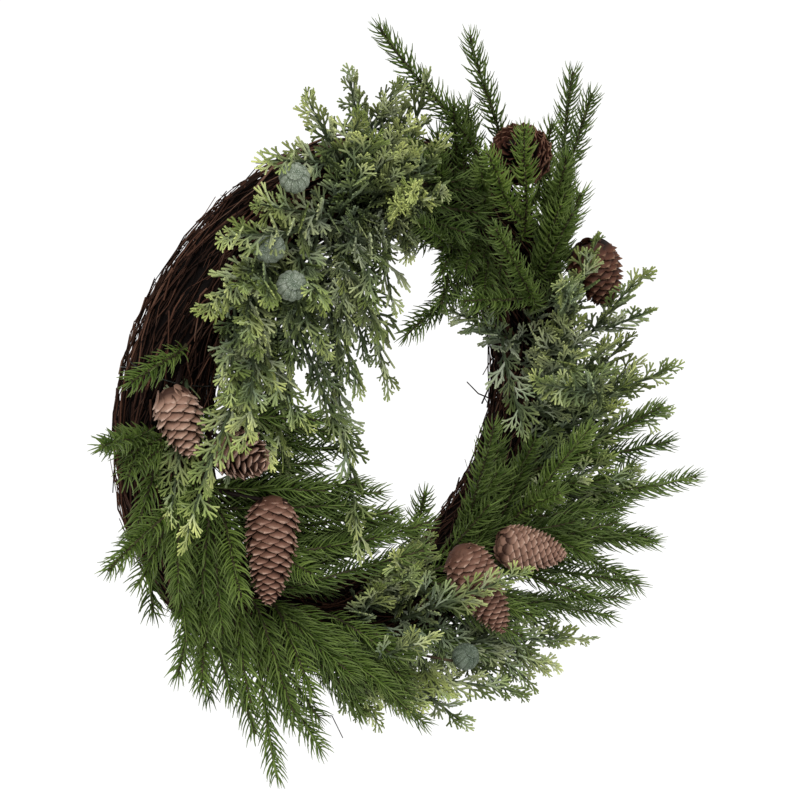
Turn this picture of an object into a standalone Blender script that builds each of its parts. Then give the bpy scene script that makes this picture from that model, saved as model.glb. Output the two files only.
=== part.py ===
# Christmas wreath: a ring of twigs tied with wire, dressed with pine and cedar picks, seven cones and four seed pods.
# Metres, +Z up, the front of the wreath faces -Y and its back lies on the plane of a door at +Y.
# The origin is the place where the hook carries the wreath: the inner top of the ring, half way through it.
import math
import random

import bmesh
import bpy
from mathutils import Vector
from mathutils.bvhtree import BVHTree

MM = 0.001

# Twig ring: an oval bundle bent into a circle, pressed flat against the door
RING_RADIUS = 0.197
BUNDLE_HALF_WIDTH = 0.036
BUNDLE_HALF_DEPTH = 0.034
BACK_PLANE = 0.0305
RING_STEPS = 54
BUNDLE_SIDES = 22
BUNDLE_TURNS = 10
RIDGE_HEIGHT = 0.0024
GROOVE_DEPTH = 0.0012
CENTRE = Vector((0.0, 0.0, -(RING_RADIUS - BUNDLE_HALF_WIDTH)))

# Loose twigs: each leaves the bundle, runs a little above it and ends free
TWIG_RADIUS = 0.0018
TWIG_LIFT = 0.0062
TWIG_STATIONS = (0.09, 0.27, 0.45, 0.63, 0.81, 0.97)

# Binding wire: loops drawn tight round the bundle, which is drawn in under each; their places in steps along the ring
WIRE_RADIUS = 0.0006
WIRE_LIFT = 0.0026
WIRE_SIDES = 28
WIRE_PLACES = (24, 44, 4)
CINCH = 0.0018

# Stems of the picks: a stem leaves its root square to the bundle for a share of its length, then bends to its tip
STEM_RADIUS = 0.0020
STEM_TAPER = 0.45
STEM_LEAD = 0.26
BAND = 0.0035
FORK_CLEAR = 0.004

# Pine sprays: whorls of needles along the stem
NEEDLE_LENGTH = 0.020
NEEDLE_SPREAD = 52
NEEDLE_RADIUS = 0.0010
WHORL_PITCH = 0.0195
PINE_START = 0.026
PINE_SHOOT_START = 0.018

# Cedar fronds: pairs of forked twiglets along the stem
TWIGLET_LENGTH = 0.034
TWIGLET_SPREAD = 44
TWIGLET_RADIUS = 0.0017
TWIGLET_PITCH = 0.024
LOBE_LENGTH = 0.009
LOBE_RADIUS = 0.0008
CEDAR_START = 0.020
CEDAR_SHOOT_START = 0.016

# Room kept between pieces
SEAT_GAP = 0.0003
CLEAR = 0.0005
RELIEF_CLEAR = 0.0048

# Ways kept free of foliage: the middle of the wreath (x, z of its corners from the centre) and the hook's place
HOLE = ((-0.042, -0.052), (0.066, 0.058))
HOOK_REACH = 0.014

# Loose twigs: clock and round-the-bundle angle where each leaves the bundle and where it ends, and how far its end
# stands off the bundle in mm
LOOSE_TWIGS = (
    (102, 30, 142, 62, 9),
    (108, -10, 151, 18, 12),
    (118, 50, 152, 88, 8),
    (112, -20, 148, -36, 10),
    (152, 4, 116, -14, 14),
    (151, 74, 112, 100, 9),
    (152, -32, 108, -22, 15),
    (164, 24, 206, 54, 12),
    (168, -20, 214, 8, 16),
    (163, 66, 196, 36, 10),
    (172, -34, 218, -22, 12),
    (200, 2, 164, 38, 14),
    (206, -24, 168, -34, 12),
    (96, 2, 60, 22, 12),
    (86, -20, 48, -34, 12),
    (20, 172, -8, 190, 26),
    (344, 190, 370, 168, 20),
    (216, -12, 243, 4, 28),
    (228, 16, 252, -4, 24),
    (284, -22, 258, 8, 16),
    (300, -4, 330, -26, 12),
    (346, -14, 308, 6, 12),
    (350, -32, 382, -18, 12),
    (36, -34, 66, -14, 12),
    (244, 176, 280, 192, 9),
)

# Picks. A pick is a stem rooted on the ring and its side shoots. A root is a clock angle on the ring (0 is right, 90 is
# up) and an angle round the bundle (0 is outward, 90 is the front, 180 is towards the hole). A tip is in millimetres
# from the ring's centre: right, forward, up. A bow moves the stem's middle the same three ways. A shoot leaves the stem
# at a share of its length.
PINE_PICKS = {
    "pine_top_1": ((62, 62), (-35, 75, 340), (0, 0, 0), ()),
    "pine_top_2": ((55, 40), (70, 60, 325), (0, 0, 0), ()),
    "pine_top_3": ((72, 80), (-10, 85, 245), (0, 0, 0), ()),
    "pine_top_4": ((44, 92), (80, 120, 255), (0, 0, 0), ((0.30, (35, 125, 240)),)),
    "pine_right_1": ((44, 45), (155, 70, 245), (0, 0, 0), ()),
    "pine_right_2": ((36, 25), (190, 55, 285), (0, 0, 0), ((0.25, (185, 85, 270)),)),
    "pine_right_3": ((30, 80), (135, 110, 225), (0, 0, 0), ((0.3, (175, 85, 185)),)),
    "pine_inner_1": ((24, 112), (50, 120, 175), (0, 0, 0), ((0.3, (35, 95, 110)),)),
    "pine_inner_2": ((52, 135), (-20, 105, 185), (0, 0, 0), ()),
    "pine_inner_3": ((44, 158), (-5, 70, 80), (0, 0, 0), ()),
    "pine_left_1": ((172, 48), (-310, 105, 55), (0, 0, 0), ((0.3, (-275, 80, 15)),)),
    "pine_left_2": ((184, 88), (-315, 115, -40), (0, 0, 0), ((0.3, (-270, 80, -75)),)),
    "pine_left_3": ((198, 25), (-240, 50, -115), (0, 0, 0), ()),
    "pine_left_4": ((204, 84), (-255, 110, -145), (0, 0, 0), ((0.3, (-240, 120, -155)),)),
    "pine_left_5": ((216, 35), (-190, 50, -205), (0, 0, 0), ()),
    "pine_left_6": ((192, 118), (-205, 130, -85), (0, 0, 0), ()),
    "pine_left_7": ((222, 84), (-160, 105, -265), (0, 0, 0), ((0.3, (-105, 90, -260)),)),
    "pine_left_8": ((205, 140), (-130, 120, -85), (0, 0, 0), ()),
    "pine_hole_1": ((172, 150), (-70, 90, 15), (0, 0, 0), ()),
    "pine_hole_2": ((196, 155), (-15, 90, -80), (0, 0, 0), ()),
    "pine_low_1": ((244, 100), (15, 80, -275), (0, 0, 0), ()),
    "pine_low_2": ((228, 110), (-85, 110, -190), (0, 0, 0), ((0.3, (-50, 115, -210)),)),
    "pine_side_1": ((326, 66), (320, 100, -100), (0, 0, 0), ((0.3, (260, 75, -80)),)),
    "pine_side_2": ((320, 45), (280, 90, -160), (0, 0, 0), ((0.3, (265, 85, -205)),)),
    "pine_side_3": ((304, 40), (255, 60, -240), (0, 0, 0), ()),
    "pine_side_4": ((338, 80), (265, 105, -20), (0, 0, 0), ()),
    "pine_side_5": ((316, 109), (165, 120, -15), (0, 0, 0), ((0.3, (120, 130, -65)),)),
    "pine_side_6": ((306, 140), (70, 100, 0), (0, 0, 0), ()),
    "pine_side_7": ((284, 150), (10, 80, -55), (0, 0, 0), ()),
}
CEDAR_PICKS = {
    "cedar_top_1": ((100, 70), (-100, 75, 285), (0, 0, 0), ((0.35, (-140, 85, 245)),)),
    "cedar_top_2": ((94, 50), (-50, 60, 295), (0, 0, 0), ((0.35, (0, 55, 280)),)),
    "cedar_top_3": ((106, 98), (-160, 95, 215), (0, 0, 0), ((0.35, (-206, 122, 200)),)),
    "cedar_top_4": ((86, 104), (-10, 125, 210), (0, 0, 0), ((0.35, (-20, 100, 190)),)),
    "cedar_left_1": ((124, 86), (-215, 105, 145), (0, 0, 0), ((0.35, (-170, 120, 150)),)),
    "cedar_left_2": ((132, 96), (-250, 125, -20), (0, 0, 0), ((0.35, (-200, 130, 45)),)),
    "cedar_hole_1": ((112, 132), (-75, 100, 60), (0, 0, 0), ((0.35, (-80, 110, -75)),)),
    "cedar_hole_2": ((98, 146), (-30, 80, 50), (0, 0, 0), ()),
    "cedar_right_1": ((8, 66), (225, 108, 104), (0, 0, 0), ((0.35, (230, 110, 72)),)),
    "cedar_right_2": ((16, 90), (160, 120, 145), (0, 0, 0), ((0.35, (125, 120, 115)),)),
    "cedar_right_3": ((352, 72), (260, 110, 15), (0, 0, 0), ((0.35, (110, 110, 30)),)),
    "cedar_right_4": ((14, 140), (45, 75, 95), (0, 0, 0), ((0.35, (100, 100, -10)),)),
    "cedar_low_1": ((272, 104), (75, 130, -130), (0, 0, 0), ((0.35, (-35, 100, -100)),)),
    "cedar_low_2": ((282, 66), (175, 105, -225), (0, 0, 0), ((0.35, (150, 85, -250)),)),
    "cedar_low_3": ((264, 60), (100, 95, -260), (0, 0, 0), ((0.35, (50, 80, -280)),)),
    "cedar_low_4": ((252, 80), (-60, 100, -235), (0, 0, 0), ((0.35, (-20, 120, -170)),)),
}

# Cones: root, base and tip of the cone (right, forward, up in mm), greatest radius in mm, how far the scales stand out
# in mm, and the dye of the cone
CONES = {
    "cone_left_high": ((158, 70), (-219, 54, 67), (-215, 76, 20), 17, 5.0, "pale"),
    "cone_left_low": ((168, 92), (-176, 64, 19), (-163, 102, 8), 19, 5.0, "pale"),
    "cone_hanging": ((186, 92), (-139, 74, -28), (-163, 100, -108), 20, 4.0, "pale"),
    "cone_low_long": ((294, 96), (60, 62, -121), (86, 96, -198), 21, 4.5, "pale"),
    "cone_low_smooth": ((312, 92), (98, 70, -126), (150, 104, -138), 19, 2.2, "pale"),
    "cone_top_dark": ((56, 60), (136, 56, 210), (96, 82, 234), 25, 4.0, "dark"),
    "cone_right_dark": ((31, 50), (212, 52, 125), (232, 62, 69), 23, 3.5, "dark"),
}
CONE_SIDES = 7
SCALE_PITCH = 0.0085
CONE_STALK = 0.0021

# Seed pods: root, middle of the head and the bow of the stalk (right, forward, up in mm)
PODS = {
    "pod_high": ((112, 84), (-122, 86, 230), (-12, 0, -14)),
    "pod_middle": ((126, 96), (-149, 90, 179), (0, 6, -6)),
    "pod_lower": ((128, 118), (-134, 98, 149), (0, 8, 0)),
    "pod_low": ((268, 72), (52, 86, -216), (0, 4, 0)),
}
POD_RADIUS = 0.0120
POD_SIDES = 10
POD_STALK_SIDES = 5
STALK_RADIUS = 0.0013

COLOURS = {
    "twig": ((0.060, 0.028, 0.020), 0.75, 0.0),
    "wire": ((0.030, 0.030, 0.034), 0.45, 0.8),
    "pine": ((0.040, 0.105, 0.030), 0.60, 0.0),
    "cedar": ((0.170, 0.250, 0.100), 0.65, 0.0),
    "pale": ((0.300, 0.150, 0.110), 0.75, 0.0),
    "dark": ((0.085, 0.022, 0.018), 0.60, 0.0),
    "pod": ((0.130, 0.190, 0.170), 0.70, 0.0),
}


def clear_scene():
    for thing in list(bpy.data.objects):
        bpy.data.objects.remove(thing, do_unlink=True)


def material(name):
    made = bpy.data.materials.get(name)
    if made:
        return made
    colour, roughness, metallic = COLOURS[name]
    made = bpy.data.materials.new(name)
    made.use_nodes = True
    shader = made.node_tree.nodes["Principled BSDF"]
    shader.inputs["Base Color"].default_value = (*colour, 1.0)
    shader.inputs["Roughness"].default_value = roughness
    shader.inputs["Metallic"].default_value = metallic
    return made


def place(right, forward, up):
    """A point given in millimetres from the ring's centre: right, forward, up."""
    return CENTRE + Vector((right, -forward, up)) * MM


def bend_of(bow):
    return Vector((bow[0], -bow[1], bow[2])) * MM


def on_ring(clock, around, lift=0.0):
    """A point on the oval of the bundle, lifted off it."""
    turn = math.radians(clock)
    side = math.radians(around)
    out = RING_RADIUS + (BUNDLE_HALF_WIDTH + lift) * math.cos(side)
    depth = (BUNDLE_HALF_DEPTH + lift) * math.sin(side)
    return CENTRE + Vector((out * math.cos(turn), -depth, out * math.sin(turn)))


def lift_of(point):
    """How far a point is off the bundle's oval."""
    local = point - CENTRE
    out = math.hypot(local.x, local.z) - RING_RADIUS
    deep = local.y * BUNDLE_HALF_WIDTH / BUNDLE_HALF_DEPTH
    return math.hypot(out, deep) - BUNDLE_HALF_WIDTH


class Body:
    """The mesh of one node: triangles kept with their corners counter-clockwise seen from outside."""

    def __init__(self):
        self.points = []
        self.faces = []

    def point(self, place_):
        self.points.append(place_.copy())
        return len(self.points) - 1

    def ring(self, centre, along, across, radius, sides):
        """A polygon round an axis, its first corner on the side of across."""
        other = along.cross(across)
        ring = []
        for k in range(sides):
            angle = math.tau * k / sides
            ring.append(self.point(centre + (across * math.cos(angle) + other * math.sin(angle)) * radius))
        return ring

    def ring_after(self, before, centre, along, radius):
        """The next ring of a stem, turned by half a side from the one before."""
        mean = (self.points[before[0]] + self.points[before[1]]) / 2.0 - self.middle(before)
        across = (mean - along * mean.dot(along)).normalized()
        return self.ring(centre, along, across, radius, len(before))

    def face(self, *corners):
        self.faces.append(corners)

    def normal(self, corners):
        a, b, c = (self.points[k] for k in corners)
        return (b - a).cross(c - a).normalized()

    def middle(self, corners):
        return sum((self.points[c] for c in corners), Vector()) / len(corners)

    def raise_to(self, corners, apex):
        """A face drawn out to a point."""
        top = self.point(apex)
        count = len(corners)
        for k in range(count):
            self.face(corners[k], corners[(k + 1) % count], top)

    def band(self, lower, upper):
        """The triangles between two rings, the upper one turned by half a side."""
        count = len(lower)
        found = []
        for k in range(count):
            n = (k + 1) % count
            found.append((lower[k], lower[n], upper[k]))
            found.append((upper[k], lower[n], upper[n]))
        return found

    def band_straight(self, lower, upper):
        """The triangles between two rings whose corners stand in line."""
        found = []
        for k in range(len(lower)):
            n = (k + 1) % len(lower)
            found.append((lower[k], lower[n], upper[k]))
            found.append((upper[k], lower[n], upper[n]))
        return found

    def cover(self, triangles):
        for corners in triangles:
            self.face(*corners)

    def close_start(self, ring):
        for k in range(1, len(ring) - 1):
            self.face(ring[0], ring[k + 1], ring[k])

    def to_object(self, name, finish):
        mesh = bpy.data.meshes.new(name)
        mesh.from_pydata([tuple(p) for p in self.points], [], self.faces)
        mesh.materials.append(material(finish))
        made = bpy.data.objects.new(name, mesh)
        bpy.context.scene.collection.objects.link(made)
        return made


class Path:
    """A smooth stem: a cubic from its root to its tip, read by length, with a frame carried along it."""

    STEPS = 48

    def __init__(self, root, away, tip, bow, across=None):
        span = (tip - root).length
        first = root + away * span * STEM_LEAD
        second = root.lerp(tip, 0.62) + bow
        self.places = []
        for k in range(self.STEPS + 1):
            t = k / self.STEPS
            u = 1.0 - t
            spot = root * u ** 3 + first * 3 * u * u * t + second * 3 * u * t * t + tip * t ** 3
            self.places.append(spot)
        self.lengths = [0.0]
        for a, b in zip(self.places, self.places[1:]):
            self.lengths.append(self.lengths[-1] + (b - a).length)
        self.length = self.lengths[-1]
        start = (self.places[1] - self.places[0]).normalized()
        if across is None:
            across = start.orthogonal()
        across = (across - start * across.dot(start)).normalized()
        self.sides = [across]
        for k in range(1, self.STEPS + 1):
            ahead = self.heading(k)
            across = self.sides[-1] - ahead * self.sides[-1].dot(ahead)
            self.sides.append(across.normalized())

    def heading(self, k):
        low = max(k - 1, 0)
        high = min(k + 1, self.STEPS)
        return (self.places[high] - self.places[low]).normalized()

    def at(self, distance):
        """Place, heading and side vector at a distance from the root."""
        k = 1
        while k < self.STEPS and self.lengths[k] < distance:
            k += 1
        share = (distance - self.lengths[k - 1]) / (self.lengths[k] - self.lengths[k - 1])
        share = min(max(share, 0.0), 1.0)
        spot = self.places[k - 1].lerp(self.places[k], share)
        ahead = self.heading(k - 1).lerp(self.heading(k), share).normalized()
        across = self.sides[k - 1].lerp(self.sides[k], share)
        across = (across - ahead * across.dot(ahead)).normalized()
        return spot, ahead, across


def gap_between(a, b, c, d):
    """Distance between two straight pieces, a to b and c to d."""
    u = b - a
    v = d - c
    w = a - c
    uu = u.dot(u)
    uv = u.dot(v)
    vv = v.dot(v)
    uw = u.dot(w)
    vw = v.dot(w)
    spread = uu * vv - uv * uv
    s = 0.0
    if spread > 1e-18:
        s = min(max((uv * vw - vv * uw) / spread, 0.0), 1.0)
    t = (uv * s + vw) / vv if vv > 1e-18 else 0.0
    if t < 0.0:
        t = 0.0
        s = min(max(-uw / uu, 0.0), 1.0) if uu > 1e-18 else 0.0
    elif t > 1.0:
        t = 1.0
        s = min(max((uv - uw) / uu, 0.0), 1.0) if uu > 1e-18 else 0.0
    return (w + u * s - v * t).length


class Room:
    """What is already taken: round-ended rods, kept in cells so that only near ones are compared."""

    CELL = 0.03

    def __init__(self):
        self.cells = {}

    def keys(self, a, b, reach):
        low = [math.floor((min(a[k], b[k]) - reach) / self.CELL) for k in range(3)]
        high = [math.floor((max(a[k], b[k]) + reach) / self.CELL) for k in range(3)]
        for i in range(low[0], high[0] + 1):
            for j in range(low[1], high[1] + 1):
                for k in range(low[2], high[2] + 1):
                    yield i, j, k

    def take(self, owner, a, b, radius):
        rod = (owner, a.copy(), b.copy(), radius)
        for key in self.keys(a, b, radius):
            self.cells.setdefault(key, []).append(rod)

    def free(self, owner, a, b, radius):
        """True where a rod of this owner would be clear of everything of any other owner."""
        seen = set()
        for key in self.keys(a, b, radius + CLEAR):
            for rod in self.cells.get(key, ()):
                if rod[0] == owner or id(rod) in seen:
                    continue
                seen.add(id(rod))
                if gap_between(a, b, rod[1], rod[2]) < radius + rod[3] + CLEAR:
                    return False
        return clear_of_ways(a, b, radius)


def clear_of_ways(a, b, radius):
    """Clear of the twig ring, of the door, of the opening in the middle and of the hook."""
    for share in (0.2, 0.4, 0.6, 0.8, 1.0):
        spot = a.lerp(b, share)
        if spot.y + radius > BACK_PLANE - CLEAR:
            return False
        if lift_of(spot) < RELIEF_CLEAR + radius:
            return False
        if spot.length < HOOK_REACH:
            return False
        x = spot.x - CENTRE.x
        z = spot.z - CENTRE.z
        (left, low), (right, high) = HOLE
        if left - radius < x < right + radius and low - radius < z < high + radius:
            return False
    return True


def bundle_rows(body):
    """The corners of the twig bundle: rows round it, one for each step along the ring."""
    rows = []
    for i in range(RING_STEPS):
        clock = 360.0 * i / RING_STEPS
        row = []
        for j in range(BUNDLE_SIDES):
            around = 360.0 * j / BUNDLE_SIDES + bundle_twist(i)
            swell = 0.75 + 0.25 * math.sin(math.radians(5 * clock + 140 * j))
            lift = RIDGE_HEIGHT * swell if j % 2 == 0 else -GROOVE_DEPTH
            drawn_in = CINCH if i in WIRE_PLACES else 0.0
            spot = on_ring(clock, around, lift - drawn_in)
            spot.y = min(spot.y, BACK_PLANE - drawn_in)
            row.append(body.point(spot))
        rows.append(row)
    return rows


def bundle_twist(step):
    return 360.0 * BUNDLE_TURNS / BUNDLE_SIDES * step / RING_STEPS


def loose_twig_points(twig):
    """The middle line of a loose twig, from where it leaves the bundle to its free end."""
    clock_a, around_a, clock_b, around_b, stand = twig
    spots = [on_ring(clock_a, around_a)]
    for t in TWIG_STATIONS:
        lift = TWIG_LIFT + max(stand * MM - TWIG_LIFT, 0.0) * max(2.5 * t - 1.5, 0.0) ** 1.5
        spots.append(on_ring(clock_a + (clock_b - clock_a) * t, around_a + (around_b - around_a) * t, lift))
    return spots


def grow_twig(body, corners, twig):
    """A loose twig grown from a face of the bundle: the face closes in on the twig, which then runs to its end."""
    spots = loose_twig_points(twig)
    middle = body.middle(corners)
    reach = sum((body.points[c] - middle).length for c in corners) / 3.0
    lower = [body.point(middle.lerp(body.points[c], TWIG_RADIUS / reach)) for c in corners]
    for k in range(3):
        n = (k + 1) % 3
        body.face(corners[k], corners[n], lower[k])
        body.face(lower[k], corners[n], lower[n])
    for k in range(1, len(spots)):
        ahead = (spots[min(k + 1, len(spots) - 1)] - spots[k - 1]).normalized()
        upper = body.ring_after(lower, spots[k], ahead, TWIG_RADIUS * (1.0 - 0.06 * k))
        body.cover(body.band(lower, upper))
        lower = upper
    body.raise_to(lower, spots[-1] + ahead * TWIG_RADIUS)


def make_twig_ring():
    """The bundle: a ring with a helical relief of ridges, flat where it lies on the door, and its loose twigs."""
    body = Body()
    rows = bundle_rows(body)
    sprouts = {}
    for twig in LOOSE_TWIGS:
        i = round(twig[0] * RING_STEPS / 360.0) % RING_STEPS
        j = round((twig[1] - bundle_twist(i)) * BUNDLE_SIDES / 360.0 - 0.5) % BUNDLE_SIDES
        sprouts[i, j] = twig
    for i in range(RING_STEPS):
        here = rows[i]
        after = rows[(i + 1) % RING_STEPS]
        shift = BUNDLE_TURNS if i == RING_STEPS - 1 else 0
        for j in range(BUNDLE_SIDES):
            n = (j + 1) % BUNDLE_SIDES
            a = here[j]
            b = here[n]
            c = after[(n - shift) % BUNDLE_SIDES]
            d = after[(j - shift) % BUNDLE_SIDES]
            if (i, j) in sprouts:
                grow_twig(body, (a, d, b), sprouts[i, j])
            else:
                body.face(a, d, b)
            body.face(b, d, c)
    return body.to_object("twig_ring", "twig")


def make_wires(room):
    """Loops of binding wire round the bundle, just clear of its ridges and of the door."""
    for number, step in enumerate(WIRE_PLACES, 1):
        clock = 360.0 * step / RING_STEPS
        tangent = Vector((-math.sin(math.radians(clock)), 0.0, math.cos(math.radians(clock))))
        body = Body()
        spots = []
        for k in range(WIRE_SIDES):
            spot = on_ring(clock, 360.0 * k / WIRE_SIDES, WIRE_LIFT)
            spot.y = min(spot.y, BACK_PLANE - CINCH + WIRE_RADIUS + SEAT_GAP)
            spots.append(spot)
        rings = []
        for k, spot in enumerate(spots):
            ahead = (spots[(k + 1) % WIRE_SIDES] - spots[k - 1]).normalized()
            rings.append(body.ring(spot, ahead, tangent, WIRE_RADIUS, 3))
        for k in range(WIRE_SIDES):
            n = (k + 1) % WIRE_SIDES
            body.cover(body.band_straight(rings[k], rings[n]))
            room.take("wire", spots[k], spots[n], WIRE_RADIUS)
        body.to_object(f"binding_wire_{number}", "wire")


def seat(surface, clock, around, radius):
    """Where a stem's cut end stands on the ring: the hit place, lifted until the whole cut is just clear."""
    heart = on_ring(clock, around, -BUNDLE_HALF_WIDTH)
    outside = on_ring(clock, around, 0.03)
    hit, normal, _, _ = surface.ray_cast(outside, (heart - outside).normalized())
    away = (outside - heart).normalized()
    if normal.dot(away) > 0.6:
        away = (away + normal).normalized()
    across = away.orthogonal().normalized()
    other = away.cross(across)
    lift = SEAT_GAP
    while lift < 0.003:
        root = hit + away * lift
        rim = [root]
        for k in range(24):
            angle = math.tau * k / 24
            rim.append(root + (across * math.cos(angle) + other * math.sin(angle)) * radius)
        if all(clear_of_surface(surface, spot) for spot in rim):
            return root, away
        lift += 0.00005
    return hit + away * lift, away


def clear_of_surface(surface, spot):
    near, normal, _, distance = surface.find_nearest(spot)
    return distance >= SEAT_GAP and (spot - near).dot(normal) > 0.0


def take_path(room, owner, path, radius, start=0.0):
    pieces = max(int((path.length - start) / 0.012), 2)
    for k in range(pieces):
        a = path.at(start + (path.length - start) * k / pieces)[0]
        b = path.at(start + (path.length - start) * (k + 1) / pieces)[0]
        room.take(owner, a, b, radius)


class Pine:
    """Pine growth: rings of six needles, swept forward, out to the bud."""

    finish = "pine"
    start = PINE_START
    shoot_start = PINE_SHOOT_START
    last = 0.0075

    def spots(self, length, start):
        """Where the whorls stand along a shoot, closer together near its tip."""
        spot = start
        while spot < length - self.last - 0.006:
            yield spot
            spot += WHORL_PITCH * (1.0 if spot < length - 0.03 else 0.6)
        yield length - self.last

    def choices(self, share, draw):
        spread = NEEDLE_SPREAD - 26 * share ** 3 + draw.uniform(-5, 5)
        reach = NEEDLE_LENGTH * (1.0 - 0.38 * share ** 4) * draw.uniform(0.88, 1.05)
        turns = ((0, 1.0), (-14, 1.0), (0, 0.75), (-24, 0.85), (-14, 0.6))
        return [(math.radians(spread + turn), reach * scale) for turn, scale in turns]

    def grow(self, body, room, owner, path, triangles, distance, number, draw):
        spot, ahead, _ = path.at(distance + BAND / 2)
        for corners in triangles:
            middle = body.middle(corners)
            out = middle - spot
            out = (out - ahead * out.dot(ahead)).normalized()
            for angle, reach in self.choices(distance / path.length, draw):
                apex = middle + (out * math.sin(angle) + ahead * math.cos(angle)) * reach
                low = middle.lerp(apex, 0.12)
                if room.free(owner, low, apex, NEEDLE_RADIUS):
                    room.take(owner, low, apex, NEEDLE_RADIUS)
                    body.raise_to(corners, apex)
                    break
            else:
                body.face(*corners)


class Cedar:
    """Cedar growth: pairs of forked twiglets in a slightly turning plane."""

    finish = "cedar"
    start = CEDAR_START
    shoot_start = CEDAR_SHOOT_START
    last = 0.014

    def spots(self, length, start):
        spot = start
        while spot < length - self.last - 0.010:
            yield spot
            spot += TWIGLET_PITCH * (1.0 if spot < length - 0.05 else 0.75)
        yield length - self.last

    def choices(self, share, draw):
        reach = TWIGLET_LENGTH * (1.0 - 0.45 * share ** 2) * draw.uniform(0.88, 1.08)
        turns = ((1.0, 0), (1.0, -14), (0.75, 0), (0.75, -18), (0.5, -8))
        return [(math.radians(TWIGLET_SPREAD + turn), reach * scale) for scale, turn in turns]

    def grow(self, body, room, owner, path, triangles, distance, number, draw):
        spot, ahead, across = path.at(distance + BAND / 2)
        tilt = math.radians(12 if number % 2 else -12)
        left = across * math.cos(tilt) + ahead.cross(across) * math.sin(tilt)
        ways = {}
        for way in (left, -left):
            best = max(triangles, key=lambda corners: (body.middle(corners) - spot).dot(way))
            ways[best] = way
        for corners in triangles:
            grown = False
            if corners in ways:
                choices = self.choices(distance / path.length, draw)
                grown = self.twiglet(body, room, owner, corners, ways[corners], ahead, choices)
            if not grown:
                body.face(*corners)

    def twiglet(self, body, room, owner, corners, way, ahead, choices):
        """A forked twiglet on one face of the stem, the first of the choices that has room."""
        middle = body.middle(corners)
        for angle, reach in choices:
            heading = (way * math.sin(angle) + ahead * math.cos(angle)).normalized()
            tip = middle + (heading + ahead * 0.12) * reach
            low = middle.lerp(tip, 0.08)
            if room.free(owner, low, tip, TWIGLET_RADIUS * 1.1):
                break
        else:
            return False
        room.take(owner, low, tip, TWIGLET_RADIUS)
        knee = middle + heading * reach * 0.5
        plane = ahead.cross(way).normalized()
        ring = body.ring_after(corners, knee, heading, TWIGLET_RADIUS)
        for triangle in body.band(corners, ring):
            if not self.lobe(body, room, owner, triangle, middle.lerp(knee, 0.5), heading, plane):
                body.face(*triangle)
        body.raise_to(ring, tip)
        return True

    def lobe(self, body, room, owner, triangle, heart, heading, plane):
        """A short side point in the frond's plane."""
        centre = body.middle(triangle)
        out = centre - heart
        out = (out - heading * out.dot(heading)).normalized()
        if abs(out.dot(plane)) > 0.55:
            return False
        apex = centre + (out * 0.62 + heading * 0.78) * LOBE_LENGTH
        if not room.free(owner, centre.lerp(apex, 0.3), apex, LOBE_RADIUS):
            return False
        room.take(owner, centre, apex, LOBE_RADIUS)
        body.raise_to(triangle, apex)
        return True


class Pick:
    """One pick: its main stem's path and those of its shoots, worked out before anything grows on them."""

    def __init__(self, name, surface, entry, growth, seed):
        (clock, around), tip, bow, shoots = entry
        self.name = name
        self.growth = growth
        self.draw = random.Random(seed)
        root, away = seat(surface, clock, around, STEM_RADIUS)
        self.main = Path(root, away, place(*tip), bend_of(bow))
        self.forks = []
        for share, shoot_tip in shoots:
            distance = self.main.length * share
            spot, ahead, _ = self.main.at(distance)
            side = place(*shoot_tip) - spot
            side = (side - ahead * side.dot(ahead)).normalized()
            leaving = (ahead + side * 0.9).normalized()
            path = Path(spot + side * STEM_RADIUS * 0.5, leaving, place(*shoot_tip), Vector())
            self.forks.append((distance, side, path))

    def take(self, room):
        take_path(room, self.name, self.main, STEM_RADIUS)
        for _, _, path in self.forks:
            take_path(room, self.name + "_shoot", path, STEM_RADIUS, 0.006)

    def build(self, room):
        body = Body()
        spot, ahead, across = self.main.at(0.0)
        cut = body.ring(spot, ahead, across, STEM_RADIUS, 3)
        body.close_start(cut)
        self.shoot(body, room, self.name, self.main, cut, self.growth.start, self.forks)
        body.to_object(self.name, self.growth.finish)

    def shoot(self, body, room, owner, path, lower, start, forks):
        """A three-sided stem from an open ring to its bud, with short bands where something grows."""
        bands = [(distance, "fork", number) for number, (distance, _, _) in enumerate(forks)]
        for number, spot in enumerate(self.growth.spots(path.length, start)):
            if all(abs(spot - distance) > BAND + FORK_CLEAR for distance, _, _ in forks):
                bands.append((spot, "growth", number))
        for distance, kind, number in sorted(bands):
            below = self.stem_ring(body, path, distance, lower)
            body.cover(body.band(lower, below))
            above = self.stem_ring(body, path, distance + BAND, below)
            triangles = body.band(below, above)
            if kind == "fork":
                self.fork(body, room, triangles, forks[number])
            else:
                self.growth.grow(body, room, owner, path, triangles, distance, number, self.draw)
            lower = above
        end, ahead, _ = path.at(path.length)
        body.raise_to(lower, end + ahead * 0.001)

    def stem_ring(self, body, path, distance, before):
        spot, ahead, _ = path.at(distance)
        return body.ring_after(before, spot, ahead, STEM_RADIUS * (1.0 - STEM_TAPER * distance / path.length))

    def fork(self, body, room, triangles, fork):
        """One face of the band opens into a side shoot, the others stay."""
        _, side, path = fork
        best = max(triangles, key=lambda corners: body.normal(corners).dot(side))
        body.cover(corners for corners in triangles if corners != best)
        self.shoot(body, room, self.name + "_shoot", path, best, self.growth.shoot_start, ())


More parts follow.
